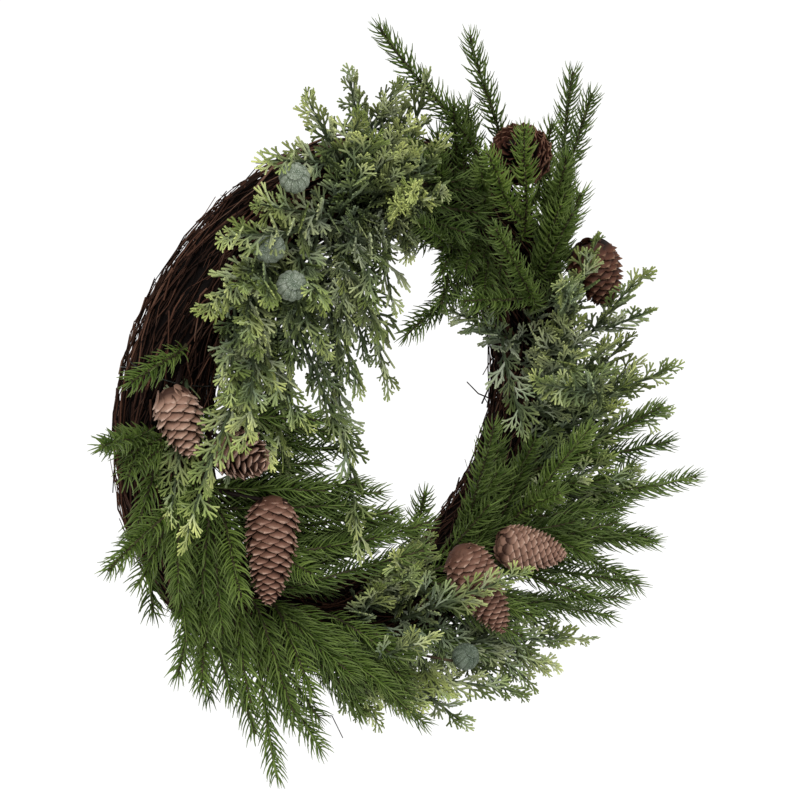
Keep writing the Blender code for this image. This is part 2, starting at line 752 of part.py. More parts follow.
class Cone:
    """A cone on its stalk: one body lofted from the cut of the stalk to the cone's tip."""

    def __init__(self, name, surface, entry):
        (clock, around), base, tip, radius, stand, finish = entry
        self.name = name
        self.finish = finish
        self.base = place(*base)
        self.tip = place(*tip)
        self.axis = (self.tip - self.base).normalized()
        self.length = (self.tip - self.base).length
        self.radius = radius * MM
        self.stand = stand * MM
        root, away = seat(surface, clock, around, CONE_STALK)
        self.root = root
        self.away = away

    def profile(self, share):
        """Radius without scales, blunt at the base and narrow at the tip."""
        full = (1.0 - (1.0 - min(share / 0.30, 1.0)) ** 2.2) ** 0.6 if share < 0.30 else 1.0
        slim = 1.0 - 0.78 * max((share - 0.30) / 0.70, 0.0) ** 1.7
        return max((self.radius - self.stand) * full * slim, 0.0024)

    def knee(self):
        """Where the stalk bends."""
        return self.root.lerp(self.base, 0.45) + self.away * (self.base - self.root).length * 0.12

    def take(self, room):
        steps = 8
        for k in range(steps):
            a = self.base + self.axis * self.length * k / steps
            b = self.base + self.axis * self.length * (k + 1) / steps
            room.take(self.name, a, b, max(self.profile(k / steps), self.profile((k + 1) / steps)) + self.stand)
        room.take(self.name, self.root + self.away * CONE_STALK, self.knee(), CONE_STALK)
        room.take(self.name, self.knee(), self.base, CONE_STALK)

    def build(self, room):
        body = Body()
        lower = body.ring(self.root, self.away, self.away.orthogonal().normalized(), CONE_STALK, CONE_SIDES)
        body.close_start(lower)
        bend = (self.base - self.root).normalized()
        for spot, along, radius in ((self.knee(), bend, CONE_STALK), (self.base, self.axis, CONE_STALK * 1.4)):
            upper = body.ring_after(lower, spot, along, radius)
            body.cover(body.band(lower, upper))
            lower = upper
        rows = max(int(self.length / SCALE_PITCH), 4)
        for row in range(rows):
            share = (row + 0.65) / rows
            spot = self.base + self.axis * self.length * share
            upper = body.ring_after(lower, spot, self.axis, self.profile(share))
            for number, corners in enumerate(body.band(lower, upper)):
                if row > 0 and number % 2:
                    self.scale(body, corners)
                else:
                    body.face(*corners)
            lower = upper
        body.raise_to(lower, self.tip)
        body.to_object(self.name, self.finish)

    def scale(self, body, corners):
        """A face raised to a scale that stands out and leans to the tip."""
        middle = body.middle(corners)
        out = middle - self.base
        out = (out - self.axis * out.dot(self.axis)).normalized()
        body.raise_to(corners, middle + out * self.stand + self.axis * SCALE_PITCH * 0.35)


class Pod:
    """A ribbed seed head with a flared crown, on a thin stalk."""

    PROFILE = ((-1.02, 0.24), (-0.80, 0.72), (-0.30, 1.00), (0.25, 0.97), (0.62, 0.66), (0.80, 0.62))

    def __init__(self, name, surface, entry):
        (clock, around), middle, bow = entry
        self.name = name
        self.middle = place(*middle)
        root, away = seat(surface, clock, around, STALK_RADIUS)
        self.path = Path(root, away, self.middle, bend_of(bow))

    def take(self, room):
        room.take(self.name, self.middle - Vector((0, 0, 0.0002)), self.middle, POD_RADIUS + 0.001)
        take_path(room, self.name, self.path, STALK_RADIUS)

    def build(self, room):
        body = Body()
        spot, ahead, across = self.path.at(0.0)
        lower = body.ring(spot, ahead, across, STALK_RADIUS, POD_STALK_SIDES)
        body.close_start(lower)
        stalk = self.path.length - POD_RADIUS
        for share in (0.3, 0.6, 0.9):
            spot, ahead, _ = self.path.at(stalk * share)
            upper = body.ring_after(lower, spot, ahead, STALK_RADIUS)
            body.cover(body.band(lower, upper))
            lower = upper
        rings = self.head_rings(body, lower)
        self.join_stalk(body, lower, rings[0])
        for below, above in zip(rings, rings[1:]):
            body.cover(body.band_straight(below, above))
        body.raise_to(rings[-1], self.middle + self.path.at(self.path.length)[1] * POD_RADIUS * 0.92)
        body.to_object(self.name, "pod")

    def head_rings(self, body, stalk):
        """Rings of the head with a rib at every other corner, in line with the stalk's corners."""
        axis = self.path.at(self.path.length)[1]
        mean = (body.points[stalk[0]] + body.points[stalk[1]]) / 2.0 - self.middle
        across = (mean - axis * mean.dot(axis)).normalized()
        other = axis.cross(across)
        rings = []
        for height, width in self.PROFILE:
            spot = self.middle + axis * POD_RADIUS * height
            ring = []
            for k in range(POD_SIDES):
                angle = math.tau * (k - 0.5) / POD_SIDES
                reach = POD_RADIUS * width * (1.06 if k % 2 else 0.93)
                ring.append(body.point(spot + (across * math.cos(angle) + other * math.sin(angle)) * reach))
            rings.append(ring)
        return rings

    def join_stalk(self, body, stalk, ring):
        """Three faces of the head's first ring for each side of the stalk."""
        for k in range(POD_STALK_SIDES):
            body.face(stalk[k], stalk[(k + 1) % POD_STALK_SIDES], ring[2 * k + 1])
            body.face(stalk[k], ring[2 * k + 1], ring[2 * k])
            body.face(stalk[k], ring[2 * k], ring[(2 * k - 1) % POD_SIDES])


def make_wreath():
    clear_scene()
    ring = make_twig_ring()
    shape = bmesh.new()
    shape.from_mesh(ring.data)
    surface = BVHTree.FromBMesh(shape)
    room = Room()
    for twig in LOOSE_TWIGS:
        spots = loose_twig_points(twig)
        for a, b in zip(spots, spots[1:]):
            room.take("twig_ring", a, b, TWIG_RADIUS)
    make_wires(room)
    pieces = [Cone(name, surface, entry) for name, entry in CONES.items()]
    pieces += [Pod(name, surface, entry) for name, entry in PODS.items()]
    for picks, growth in ((PINE_PICKS, Pine()), (CEDAR_PICKS, Cedar())):
        for seed, (name, entry) in enumerate(picks.items(), 1):
            pieces.append(Pick(name, surface, entry, growth, seed))
    for piece in pieces:
        piece.take(room)
    for piece in pieces:
        piece.build(room)
    shape.free()


make_wreath()
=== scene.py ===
import math
import random

import bmesh
import bpy
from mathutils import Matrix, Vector, noise


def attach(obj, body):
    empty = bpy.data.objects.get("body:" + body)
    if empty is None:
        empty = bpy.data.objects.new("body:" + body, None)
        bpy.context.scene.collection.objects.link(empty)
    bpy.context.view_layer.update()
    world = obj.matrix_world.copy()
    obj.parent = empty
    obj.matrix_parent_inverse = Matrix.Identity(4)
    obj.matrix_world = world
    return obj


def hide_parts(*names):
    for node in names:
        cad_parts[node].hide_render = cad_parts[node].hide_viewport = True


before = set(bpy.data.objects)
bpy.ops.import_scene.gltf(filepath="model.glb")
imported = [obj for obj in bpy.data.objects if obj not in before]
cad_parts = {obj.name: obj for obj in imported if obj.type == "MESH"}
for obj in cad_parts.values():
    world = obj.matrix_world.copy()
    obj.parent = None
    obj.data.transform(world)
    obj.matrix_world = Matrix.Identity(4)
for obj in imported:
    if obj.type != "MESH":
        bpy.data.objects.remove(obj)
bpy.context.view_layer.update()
mm = 0.001
goldenAngle = math.radians(137.508)
goldenShare = 0.618034
seeds = random.Random(20)

# The ring that everything grows on, as in the part; roots reach a little under its surface
ring = {
    "centre": Vector((0.0, 0.0, -0.161)),
    "radius": 0.197,
    "halfWidth": 0.036,
    "halfDepth": 0.034,
    "back": 0.0305,
    "rootDepth": 0.004,
}

# Picks: root (clock, angle round the bundle), tip (right, forward, up in mm from the ring's centre),
# shoots (share of the stem where each leaves, and its tip), and tone
pinePicks = {
    "pine_top_1": ((62, 62), (-35, 75, 340), (), 0.5),
    "pine_top_2": ((55, 40), (70, 60, 325), (), 0.5),
    "pine_top_3": ((72, 80), (-10, 85, 245), (), 0.55),
    "pine_top_4": ((44, 92), (80, 120, 255), ((0.30, (35, 125, 240)),), 1.0),
    "pine_right_1": ((44, 45), (155, 70, 245), (), 0.5),
    "pine_right_2": ((36, 25), (190, 55, 285), ((0.25, (185, 85, 270)),), 0.45),
    "pine_right_3": ((30, 80), (135, 110, 225), ((0.3, (175, 85, 185)),), 0.6),
    "pine_inner_1": ((24, 112), (50, 120, 175), ((0.3, (35, 95, 110)),), 0.5),
    "pine_inner_2": ((52, 135), (-20, 105, 185), (), 0.45),
    "pine_inner_3": ((44, 158), (-5, 70, 80), (), 0.4),
    "pine_left_1": ((172, 48), (-310, 105, 55), ((0.3, (-275, 80, 15)),), 0.5),
    "pine_left_2": ((184, 88), (-315, 115, -40), ((0.3, (-270, 80, -75)),), 0.6),
    "pine_left_3": ((198, 25), (-240, 50, -115), (), 0.35),
    "pine_left_4": ((204, 84), (-255, 110, -145), ((0.3, (-240, 120, -155)),), 0.6),
    "pine_left_5": ((216, 35), (-190, 50, -205), (), 0.35),
    "pine_left_6": ((192, 118), (-205, 130, -85), (), 0.7),
    "pine_left_7": ((222, 84), (-160, 105, -265), ((0.3, (-105, 90, -260)),), 0.6),
    "pine_left_8": ((205, 140), (-130, 120, -85), (), 0.6),
    "pine_hole_1": ((172, 150), (-70, 90, 15), (), 0.45),
    "pine_hole_2": ((196, 155), (-15, 90, -80), (), 0.5),
    "pine_low_1": ((244, 100), (15, 80, -275), (), 0.55),
    "pine_low_2": ((228, 110), (-85, 110, -190), ((0.3, (-50, 115, -210)),), 0.6),
    "pine_side_1": ((326, 66), (320, 100, -100), ((0.3, (260, 75, -80)),), 0.55),
    "pine_side_2": ((320, 45), (280, 90, -160), ((0.3, (265, 85, -205)),), 0.5),
    "pine_side_3": ((304, 40), (255, 60, -240), (), 0.4),
    "pine_side_4": ((338, 80), (265, 105, -20), (), 0.4),
    "pine_side_5": ((316, 109), (165, 120, -15), ((0.3, (120, 130, -65)),), 0.65),
    "pine_side_6": ((306, 140), (70, 100, 0), (), 0.5),
    "pine_side_7": ((284, 150), (10, 80, -55), (), 0.5),
}
cedarPicks = {
    "cedar_top_1": ((100, 70), (-100, 75, 285), ((0.35, (-140, 85, 245)),), 0.7),
    "cedar_top_2": ((94, 50), (-50, 60, 295), ((0.35, (0, 55, 280)),), 0.45),
    "cedar_top_3": ((106, 98), (-160, 95, 215), ((0.35, (-206, 122, 200)),), 0.7),
    "cedar_top_4": ((86, 104), (-10, 125, 210), ((0.35, (-20, 100, 190)),), 0.4),
    "cedar_left_1": ((124, 86), (-215, 105, 145), ((0.35, (-170, 120, 150)),), 0.75),
    "cedar_left_2": ((132, 96), (-250, 125, -20), ((0.35, (-200, 130, 45)),), 0.85),
    "cedar_hole_1": ((112, 132), (-75, 100, 60), ((0.35, (-80, 110, -75)),), 0.5),
    "cedar_hole_2": ((98, 146), (-30, 80, 50), (), 0.35),
    "cedar_right_1": ((8, 66), (225, 108, 104), ((0.35, (230, 110, 72)),), 0.6),
    "cedar_right_2": ((16, 90), (160, 120, 145), ((0.35, (125, 120, 115)),), 0.55),
    "cedar_right_3": ((352, 72), (260, 110, 15), ((0.35, (110, 110, 30)),), 0.65),
    "cedar_right_4": ((14, 140), (45, 75, 95), ((0.35, (100, 100, -10)),), 0.3),
    "cedar_low_1": ((272, 104), (75, 130, -130), ((0.35, (-35, 100, -100)),), 0.7),
    "cedar_low_2": ((282, 66), (175, 105, -225), ((0.35, (150, 85, -250)),), 0.5),
    "cedar_low_3": ((264, 60), (100, 95, -260), ((0.35, (50, 80, -280)),), 0.55),
    "cedar_low_4": ((252, 80), (-60, 100, -235), ((0.35, (-20, 120, -170)),), 0.55),
}


def place(right, forward, up):
    return ring["centre"] + Vector((right, -forward, up)) * mm


def onRing(clock, around, lift=0.0):
    # A point on the bundle, or above it by lift
    clock, around = math.radians(clock), math.radians(around)
    out = ring["radius"] + (ring["halfWidth"] + lift) * math.cos(around)
    depth = (ring["halfDepth"] + lift) * math.sin(around)
    return ring["centre"] + Vector((out * math.cos(clock), -depth, out * math.sin(clock)))


def rootOn(clock, around):
    # Where a stem enters the bundle, and the way it leaves
    root = onRing(clock, around, -ring["rootDepth"])
    return root, (onRing(clock, around, 0.03) - root).normalized()


def squareTo(axis):
    # Two directions square to an axis and to each other
    east = axis.orthogonal().normalized()
    return east, axis.cross(east)


# Node trees, for the materials and for what grows

class Board:
    # A node tree that is drawn with few words: add() makes a node with its values and links
    def __init__(self, tree):
        self.tree = tree

    def put(self, socket, value):
        if isinstance(value, bpy.types.NodeSocket):
            self.tree.links.new(value, socket)
        else:
            socket.default_value = value

    def add(self, kind, sockets=None, **settings):
        node = self.tree.nodes.new(kind)
        for key, value in settings.items():
            setattr(node, key, value)
        for key, value in (sockets or {}).items():
            self.put(node.inputs[key], value)
        return node

    def out(self, kind, sockets=None, **settings):
        return self.add(kind, sockets, **settings).outputs[0]

    def calc(self, operation, first, second=0.0):
        return self.out("ShaderNodeMath", {0: first, 1: second}, operation=operation)

    def plus(self, first, second):
        return self.calc("ADD", first, second)

    def minus(self, first, second):
        return self.calc("SUBTRACT", first, second)

    def times(self, first, second):
        return self.calc("MULTIPLY", first, second)

    def power(self, first, second):
        return self.calc("POWER", first, second)


class Look(Board):
    # A material: one Principled shader, with its colour and its bump
    def __init__(self, name, roughness, specular=0.5):
        self.material = bpy.data.materials.new(name)
        self.material.use_nodes = True
        super().__init__(self.material.node_tree)
        self.shader = self.tree.nodes["Principled BSDF"].inputs
        self.shader["Roughness"].default_value = roughness
        self.shader["Specular IOR Level"].default_value = specular

    def mark(self, name):
        # A value that the mesh carries
        return self.add("ShaderNodeAttribute", attribute_name=name).outputs["Fac"]

    def patches(self, scale, detail=3.0):
        # Noise on the Object coordinates
        spot = self.add("ShaderNodeTexCoord").outputs["Object"]
        noisy = self.add("ShaderNodeTexNoise", {"Vector": spot, "Scale": scale, "Detail": detail})
        return noisy.outputs["Fac"]

    def ramp(self, factor, *stops):
        node = self.add("ShaderNodeValToRGB", {"Fac": factor})
        steps = node.color_ramp.elements
        while len(steps) < len(stops):
            steps.new(0.5)
        for step, (position, colour) in zip(steps, stops):
            step.position = position
            step.color = (*colour, 1.0)
        return node.outputs["Color"]

    def mixed(self, factor, first, second, blend="MIX"):
        node = self.add("ShaderNodeMix", {0: factor}, data_type="RGBA", blend_type=blend)
        for index, value in ((6, first), (7, second)):
            plain = not isinstance(value, bpy.types.NodeSocket)
            self.put(node.inputs[index], (*value, 1.0) if plain else value)
        return node.outputs[2]

    def shaded(self, factor, colour, shade):
        return self.mixed(factor, colour, shade, "MULTIPLY")

    def done(self, colour, height=None, strength=0.5, distance=0.0006):
        # Ends the material with its colour and, where a height is given, its bump
        self.put(self.shader["Base Color"], colour)
        if height is not None:
            bump = {"Height": height, "Strength": strength, "Distance": distance}
            self.put(self.shader["Normal"], self.out("ShaderNodeBump", bump))
        return self.material


class GrowthTree(Board):
    # A Geometry Nodes tree with named inputs
    def __init__(self, name, inputs):
        super().__init__(bpy.data.node_groups.new(name, "GeometryNodeTree"))
        self.tree.is_modifier = True
        face = self.tree.interface
        face.new_socket("Geometry", in_out="INPUT", socket_type="NodeSocketGeometry")
        self.identifiers = {}
        for label, value in inputs.items():
            kind = "NodeSocketFloat"
            if isinstance(value, bpy.types.Material):
                kind = "NodeSocketMaterial"
            elif isinstance(value, int):
                kind = "NodeSocketInt"
            socket = face.new_socket(label, in_out="INPUT", socket_type=kind)
            socket.default_value = value
            self.identifiers[label] = socket.identifier
        face.new_socket("Geometry", in_out="OUTPUT", socket_type="NodeSocketGeometry")
        self.given = self.tree.nodes.new("NodeGroupInput").outputs

    def attribute(self, name, kind="FLOAT"):
        node = self.add("GeometryNodeInputNamedAttribute", {"Name": name}, data_type=kind)
        return node.outputs["Attribute"]

    def direction(self, name):
        return self.attribute(name, "FLOAT_VECTOR")

    def store(self, geometry, name, value, domain="POINT"):
        sockets = {"Geometry": geometry, "Name": name, "Value": value}
        return self.out("GeometryNodeStoreNamedAttribute", sockets, data_type="FLOAT", domain=domain)

    def shape(self, thing):
        node = self.add("GeometryNodeObjectInfo", {"Object": thing, "As Instance": True})
        return node.outputs["Geometry"]

    def random(self, low, high, shift=0):
        # Each shift of the seed gives draws of its own
        seed = self.given["Seed"]
        sockets = {2: low, 3: high, "Seed": self.plus(seed, shift) if shift else seed}
        return self.add("FunctionNodeRandomValue", sockets, data_type="FLOAT").outputs[1]

    def above(self, value, limit):
        return self.out("FunctionNodeCompare", {"A": value, "B": limit}, operation="GREATER_THAN")

    def vector(self, operation, first, second):
        return self.out("ShaderNodeVectorMath", {0: first, 1: second}, operation=operation)

    def scaled(self, vector, factor):
        return self.out("ShaderNodeVectorMath", {0: vector, "Scale": factor}, operation="SCALE")

    def turned(self, vector, axis, angle):
        return self.out("ShaderNodeVectorRotate", {"Vector": vector, "Axis": axis, "Angle": angle})

    def facing(self, first, second, axes):
        return self.out("FunctionNodeAxesToRotation", {"Primary Axis": first, "Secondary Axis": second},
                        primary_axis=axes[0], secondary_axis=axes[1])

    def tilted(self, facing, x, y, z):
        tilt = self.out("ShaderNodeCombineXYZ", {0: x, 1: y, 2: z})
        tilt = self.out("FunctionNodeEulerToRotation", {"Euler": tilt})
        return self.out("FunctionNodeRotateRotation", {"Rotation": facing, "Rotate By": tilt},
                        rotation_space="LOCAL")

    def lines(self):
        return self.out("GeometryNodeMeshToCurve", {"Mesh": self.given["Geometry"]})

    def tube(self, curve, sides, thick):
        # A body along a curve, closed at its ends
        profile = self.out("GeometryNodeCurvePrimitiveCircle", {"Resolution": sides, "Radius": 1.0})
        return self.out("GeometryNodeCurveToMesh",
                        {"Curve": curve, "Profile Curve": profile, "Fill Caps": True, "Scale": thick})

    def planted(self, spots, shape, facing, size, shift, more=None):
        # A copy of the shape on each spot, with a tint of its own
        sockets = {"Points": spots, "Instance": shape, "Rotation": facing, "Scale": size, **(more or {})}
        copies = self.out("GeometryNodeInstanceOnPoints", sockets)
        return self.store(copies, "tint", self.random(0.0, 1.0, shift), "INSTANCE")

    def realized(self, geometry):
        return self.out("GeometryNodeRealizeInstances", {"Geometry": geometry})

    def smooth(self, geometry):
        return self.out("GeometryNodeSetShadeSmooth", {"Geometry": geometry})

    def finish(self, geometry, material, wood=None):
        # Ends the tree with real faces in the material, or in bark where the mesh is marked as wood
        whole = self.realized(geometry)
        if wood:
            whole = self.smooth(whole)
        whole = self.out("GeometryNodeSetMaterial", {"Geometry": whole, "Material": self.given[material]})
        if wood:
            marked = self.above(self.attribute("wood"), 0.5)
            sockets = {"Geometry": whole, "Selection": marked, "Material": self.given[wood]}
            whole = self.out("GeometryNodeSetMaterial", sockets)
        self.put(self.tree.nodes.new("NodeGroupOutput").inputs[0], whole)
        return self


def linked(name, data):
    thing = bpy.data.objects.new(name, data)
    bpy.context.collection.objects.link(thing)
    return thing


def meshObject(name, points, faces, marks, material=None, edges=()):
    # marks holds, for each attribute, one number or vector a point
    mesh = bpy.data.meshes.new(name)
    mesh.from_pydata(points, edges, faces)
    for key, column in marks.items():
        if isinstance(column[0], Vector):
            layer = mesh.attributes.new(key, "FLOAT_VECTOR", "POINT")
            layer.data.foreach_set("vector", [number for value in column for number in value])
        else:
            mesh.attributes.new(key, "FLOAT", "POINT").data.foreach_set("value", column)
    if material:
        mesh.materials.append(material)
    return linked(name, mesh)


def edgeObject(name, lines):
    # lines: lists of (point, marks), each made one chain of edges
    points, edges, marks = [], [], {}
    for line in lines:
        for number, (spot, values) in enumerate(line):
            if number:
                edges.append((len(points) - 1, len(points)))
            points.append(spot)
            for key, value in values.items():
                marks.setdefault(key, []).append(value)
    return meshObject(name, points, [], marks, edges=edges)


def ringFaces(rows, sides, endless=False):
    # Faces between rows of points that each go once round; an endless body joins its last row to its first
    faces = []
    for row in range(rows if endless else rows - 1):
        here, after = row * sides, (row + 1) % rows * sides
        for side in range(sides):
            beside = (side + 1) % sides
            faces.append((here + side, here + beside, after + beside, after + side))
    return faces


def grown(source, tree, name, **inputs):
    # Runs the tree on the source object, and leaves a plain mesh object in its place
    modifier = source.modifiers.new(tree.tree.name, "NODES")
    modifier.node_group = tree.tree
    for label, value in inputs.items():
        modifier[tree.identifiers[label]] = value
    mesh = bpy.data.meshes.new_from_object(source.evaluated_get(bpy.context.evaluated_depsgraph_get()))
    mesh.name = name
    source.modifiers.remove(modifier)
    bpy.data.objects.remove(source)
    return linked(name, mesh)


def joined(name, pieces):
    # One mesh object out of several, with their materials and attributes
    bpy.ops.object.select_all(action="DESELECT")
    for piece in pieces:
        piece.select_set(True)
    bpy.context.view_layer.objects.active = pieces[0]
    if len(pieces) > 1:
        bpy.ops.object.join()
    pieces[0].name = name
    pieces[0].data.name = name
    return pieces[0]


def settle(piece, node=None):
    # A finished piece rides on the body, and may take the place of its CAD node
    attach(piece, "root")
    if node:
        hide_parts(node)


# Finishes

def needleMaterial():
    # Moulded needles: deep green, some sprays brighter, the beds set back in the wreath darker as painted
    # shade, each needle a little its own, paler towards its tip
    look = Look("pineNeedle", 0.45, 0.09)
    tint = look.mark("tint")
    deep = look.ramp(tint, (0.0, (0.009, 0.022, 0.003)), (0.5, (0.027, 0.053, 0.009)),
                     (1.0, (0.098, 0.148, 0.042)))
    bright = look.ramp(tint, (0.0, (0.080, 0.138, 0.018)), (1.0, (0.250, 0.335, 0.070)))
    colour = look.mixed(look.mark("tone"), deep, bright)
    pale = look.times(look.power(look.mark("along"), 2.0), 0.45)
    colour = look.mixed(pale, colour, (0.240, 0.285, 0.120))
    return look.done(look.shaded(look.times(look.patches(30.0), 0.6), colour, (0.55, 0.68, 0.60)))


def cedarMaterial():
    # Soft cedar: sage grey green at the base of each frond, yellow green at its ends
    look = Look("cedarLeaf", 0.62, 0.12)
    tint = look.mark("tint")
    sage = look.ramp(tint, (0.0, (0.022, 0.034, 0.016)), (0.45, (0.086, 0.109, 0.072)),
                     (1.0, (0.350, 0.390, 0.300)))
    young = look.ramp(tint, (0.0, (0.240, 0.285, 0.070)), (1.0, (0.600, 0.650, 0.230)))
    colour = look.mixed(look.mark("young"), sage, young)
    dark = look.ramp(look.patches(24.0), (0.42, (0, 0, 0)), (0.58, (0.8, 0.8, 0.8)))
    colour = look.shaded(dark, colour, (0.48, 0.58, 0.52))
    return look.done(colour, look.patches(900.0, 2.0), 0.25, 0.0004)


def stemMaterial():
    # Stems and stalks: brown bark, or green where the mesh is marked so
    look = Look("stemBark", 0.7, 0.2)
    grain = look.patches(220.0, 4.0)
    wood = look.ramp(grain, (0.3, (0.022, 0.014, 0.007)), (0.6, (0.050, 0.034, 0.016)),
                     (0.8, (0.085, 0.060, 0.030)))
    green = look.ramp(grain, (0.3, (0.020, 0.030, 0.012)), (0.7, (0.060, 0.080, 0.036)))
    return look.done(look.mixed(look.mark("green"), wood, green), look.patches(500.0))


def twigMaterial():
    # Vine twigs: near black bark with red brown streaks and grey worn places; the near black is partly
    # painted shade, given to the deeper twigs and to the core
    look = Look("twigBark", 0.72, 0.07)
    tint = look.mark("tint")
    bark = look.ramp(tint, (0.0, (0.0030, 0.0014, 0.0010)), (0.30, (0.034, 0.0160, 0.0105)),
                     (0.75, (0.110, 0.052, 0.033)), (1.0, (0.210, 0.135, 0.095)))
    worn = look.times(look.calc("GREATER_THAN", look.patches(75.0, 5.0), 0.62), 0.4)
    colour = look.mixed(look.times(worn, tint), bark, (0.180, 0.120, 0.090))
    colour = look.shaded(look.patches(350.0, 4.0), colour, (0.50, 0.42, 0.38))
    return look.done(colour, look.patches(420.0, 5.0), 0.6)


def wireMaterial():
    look = Look("bindingWire", 0.42)
    look.shader["Metallic"].default_value = 0.85
    dull = look.ramp(look.patches(160.0), (0.35, (0.020, 0.024, 0.020)), (0.75, (0.060, 0.060, 0.052)))
    return look.done(dull)


def coneMaterial(name, dark, light):
    # Cone scales, dark where they go under the next scale, as painted shade, and lighter along the rim; dark
    # and light give the two end tones
    look = Look(name, 0.68, 0.22)
    along = look.plus(look.mark("along"), look.times(look.patches(160.0, 4.0), 0.24))
    # the low stops paint the hidden root of each scale near black: painted shade between the scales
    ends = [look.ramp(along, *zip((0.42, 0.80, 1.00, 1.15), colours)) for colours in (dark, light)]
    colour = look.mixed(look.mark("tone"), *ends)
    colour = look.shaded(look.mark("tint"), colour, (0.68, 0.62, 0.60))
    streaks = look.patches(620.0)
    colour = look.shaded(look.times(streaks, 0.5), colour, (0.55, 0.47, 0.43))
    return look.done(colour, streaks, 0.5, 0.0005)


def podMaterial():
    # Frosted pods, darker in the grooves
    look = Look("seedPod", 0.78, 0.25)
    colour = look.ramp(look.patches(170.0, 5.0), (0.30, (0.090, 0.120, 0.080)), (0.55, (0.180, 0.210, 0.155)),
                       (0.75, (0.290, 0.320, 0.260)))
    frost = look.calc("GREATER_THAN", look.patches(1500.0, 2.0), 0.62)
    colour = look.mixed(look.times(frost, 0.7), colour, (0.62, 0.66, 0.60))
    groove = look.ramp(look.mark("along"), (0.0, (0.42, 0.45, 0.38)), (0.5, (1.0, 1.0, 1.0)))
    colour = look.shaded(1.0, colour, groove)
    # painted shade: a pod that sits in shadow is darkened by its tone
    colour = look.shaded(look.mark("tone"), colour, (0.34, 0.40, 0.36))
    return look.done(colour, look.patches(700.0, 4.0))


finishes = {
    "needle": needleMaterial(),
    "cedar": cedarMaterial(),
    "stem": stemMaterial(),
    "twig": twigMaterial(),
    "wire": wireMaterial(),
    "cone_pale": coneMaterial(
        "conePale",
        ((0.014, 0.005, 0.003), (0.150, 0.066, 0.042), (0.250, 0.130, 0.090), (0.420, 0.270, 0.205)),
        ((0.060, 0.026, 0.016), (0.350, 0.210, 0.150), (0.480, 0.320, 0.245), (0.620, 0.450, 0.360))),
    "cone_dark": coneMaterial(
        "coneDark",
        ((0.006, 0.002, 0.001), (0.060, 0.018, 0.010), (0.105, 0.036, 0.020), (0.230, 0.110, 0.068)),
        ((0.010, 0.004, 0.002), (0.085, 0.034, 0.018), (0.150, 0.068, 0.040), (0.300, 0.190, 0.120))),
    "pod": podMaterial(),
}
print("finishes ready")


# Stems and their paths

stems = {
    "steps": 26,
    "shootSteps": 20,
    "spread": 0.9,                         # how far a shoot swings from its stem, as a slope
    "fade": 0.42,                          # by how much growth gets shorter towards a tip
    "sides": 5,
    "front": Vector((-0.25, -0.75, 0.2)),  # the way that all flats lean to, besides out of the bundle
}


def stemPath(root, away, tip, steps=stems["steps"]):
    # A stem leaves its root along away for a quarter of its length, then bends to its tip
    span = (tip - root).length
    knots = (root, root + away * span * 0.26, root.lerp(tip, 0.62), tip)
    points = []
    for step in range(steps + 1):
        t = step / steps
        u = 1.0 - t
        start = knots[0] * u ** 3 + knots[1] * 3 * u * u * t
        points.append(start + knots[2] * 3 * u * t * t + knots[3] * t ** 3)
    return points


def lengthsOf(points):
    lengths = [0.0]
    for first, second in zip(points, points[1:]):
        lengths.append(lengths[-1] + (second - first).length)
    return lengths


def spotAt(points, distance):
    # The point at a distance along a stem, and the way the stem runs there
    lengths = lengthsOf(points)
    for number in range(1, len(points)):
        if lengths[number] >= distance or number == len(points) - 1:
            share = (distance - lengths[number - 1]) / max(lengths[number] - lengths[number - 1], 1e-9)
            ahead = (points[number] - points[number - 1]).normalized()
            return points[number - 1].lerp(points[number], share), ahead


def pickPaths(entry):
    # The main stem's points and those of its shoots
    root, tip, shoots = entry[:3]
    main = stemPath(*rootOn(*root), place(*tip))
    paths = [main]
    for share, shootTip in shoots:
        spot, ahead = spotAt(main, lengthsOf(main)[-1] * share)
        side = place(*shootTip) - spot
        side = (side - ahead * side.dot(ahead)).normalized()
        away = (ahead + side * stems["spread"]).normalized()
        paths.append(stemPath(spot, away, place(*shootTip), stems["shootSteps"]))
    return paths


def frontOf(spot, ahead):
    # The way the flat of a frond faces: out of the bundle and forward, square to its stem
    flat = Vector((spot.x, 0.0, spot.z - ring["centre"].z))
    heart = ring["centre"] + flat.normalized() * ring["radius"]
    face = (spot - heart).normalized() + stems["front"]
    return (face - ahead * face.dot(ahead)).normalized()


def stemLines(kind, paths, tone):
    # The stems of a pick as chains of points, marked with their thickness and with the size of their growth
    lines = []
    for number, points in enumerate(paths):
        lengths = lengthsOf(points)
        last = len(points) - 1
        line = []
        for step, spot in enumerate(points):
            ahead = (points[min(step + 1, last)] - points[max(step - 1, 0)]).normalized()
            share = lengths[step] / lengths[last]
            past = lengths[step] - kind["bare"][min(number, 1)]
            reach = 0.0
            if past >= 0.0:
                reach = kind["first"] + (1.0 - kind["first"]) * min(past / kind["full"], 1.0)
                reach *= 1.0 - stems["fade"] * share ** kind["fadePower"]
            front = frontOf(spot, ahead)
            thick = kind["stem"] + (kind["stemTip"] - kind["stem"]) * share
            if step == last and "bud" in kind:
                spot, thick = spot - ahead * kind["short"], kind["bud"]
            line.append((spot, {"thick": thick, "share": share, "reach": reach, "front": front, "tone": tone,
                                "green": kind["green"]}))
        lines.append(line)
    return lines


def pickTree(name, kind, inputs):
    # The part of a tree that both kinds of pick share: the woody stem, and spots along it in golden turns
    tree = GrowthTree(name, {**inputs, "Pitch": kind["pitch"], "Stem material": finishes["stem"], "Seed": 1})
    curve = tree.lines()
    wood = tree.store(tree.tube(curve, stems["sides"], tree.attribute("thick")), "wood", 1.0)
    spots = {"Curve": curve, "Length": tree.given["Pitch"]}
    spots = tree.out("GeometryNodeResampleCurve", spots, mode="LENGTH")
    ahead = tree.out("GeometryNodeInputTangent")
    golden = tree.times(tree.out("GeometryNodeInputIndex"), goldenAngle)
    turn = tree.plus(golden, tree.random(-kind["loose"], kind["loose"]))
    return tree, wood, spots, ahead, turn


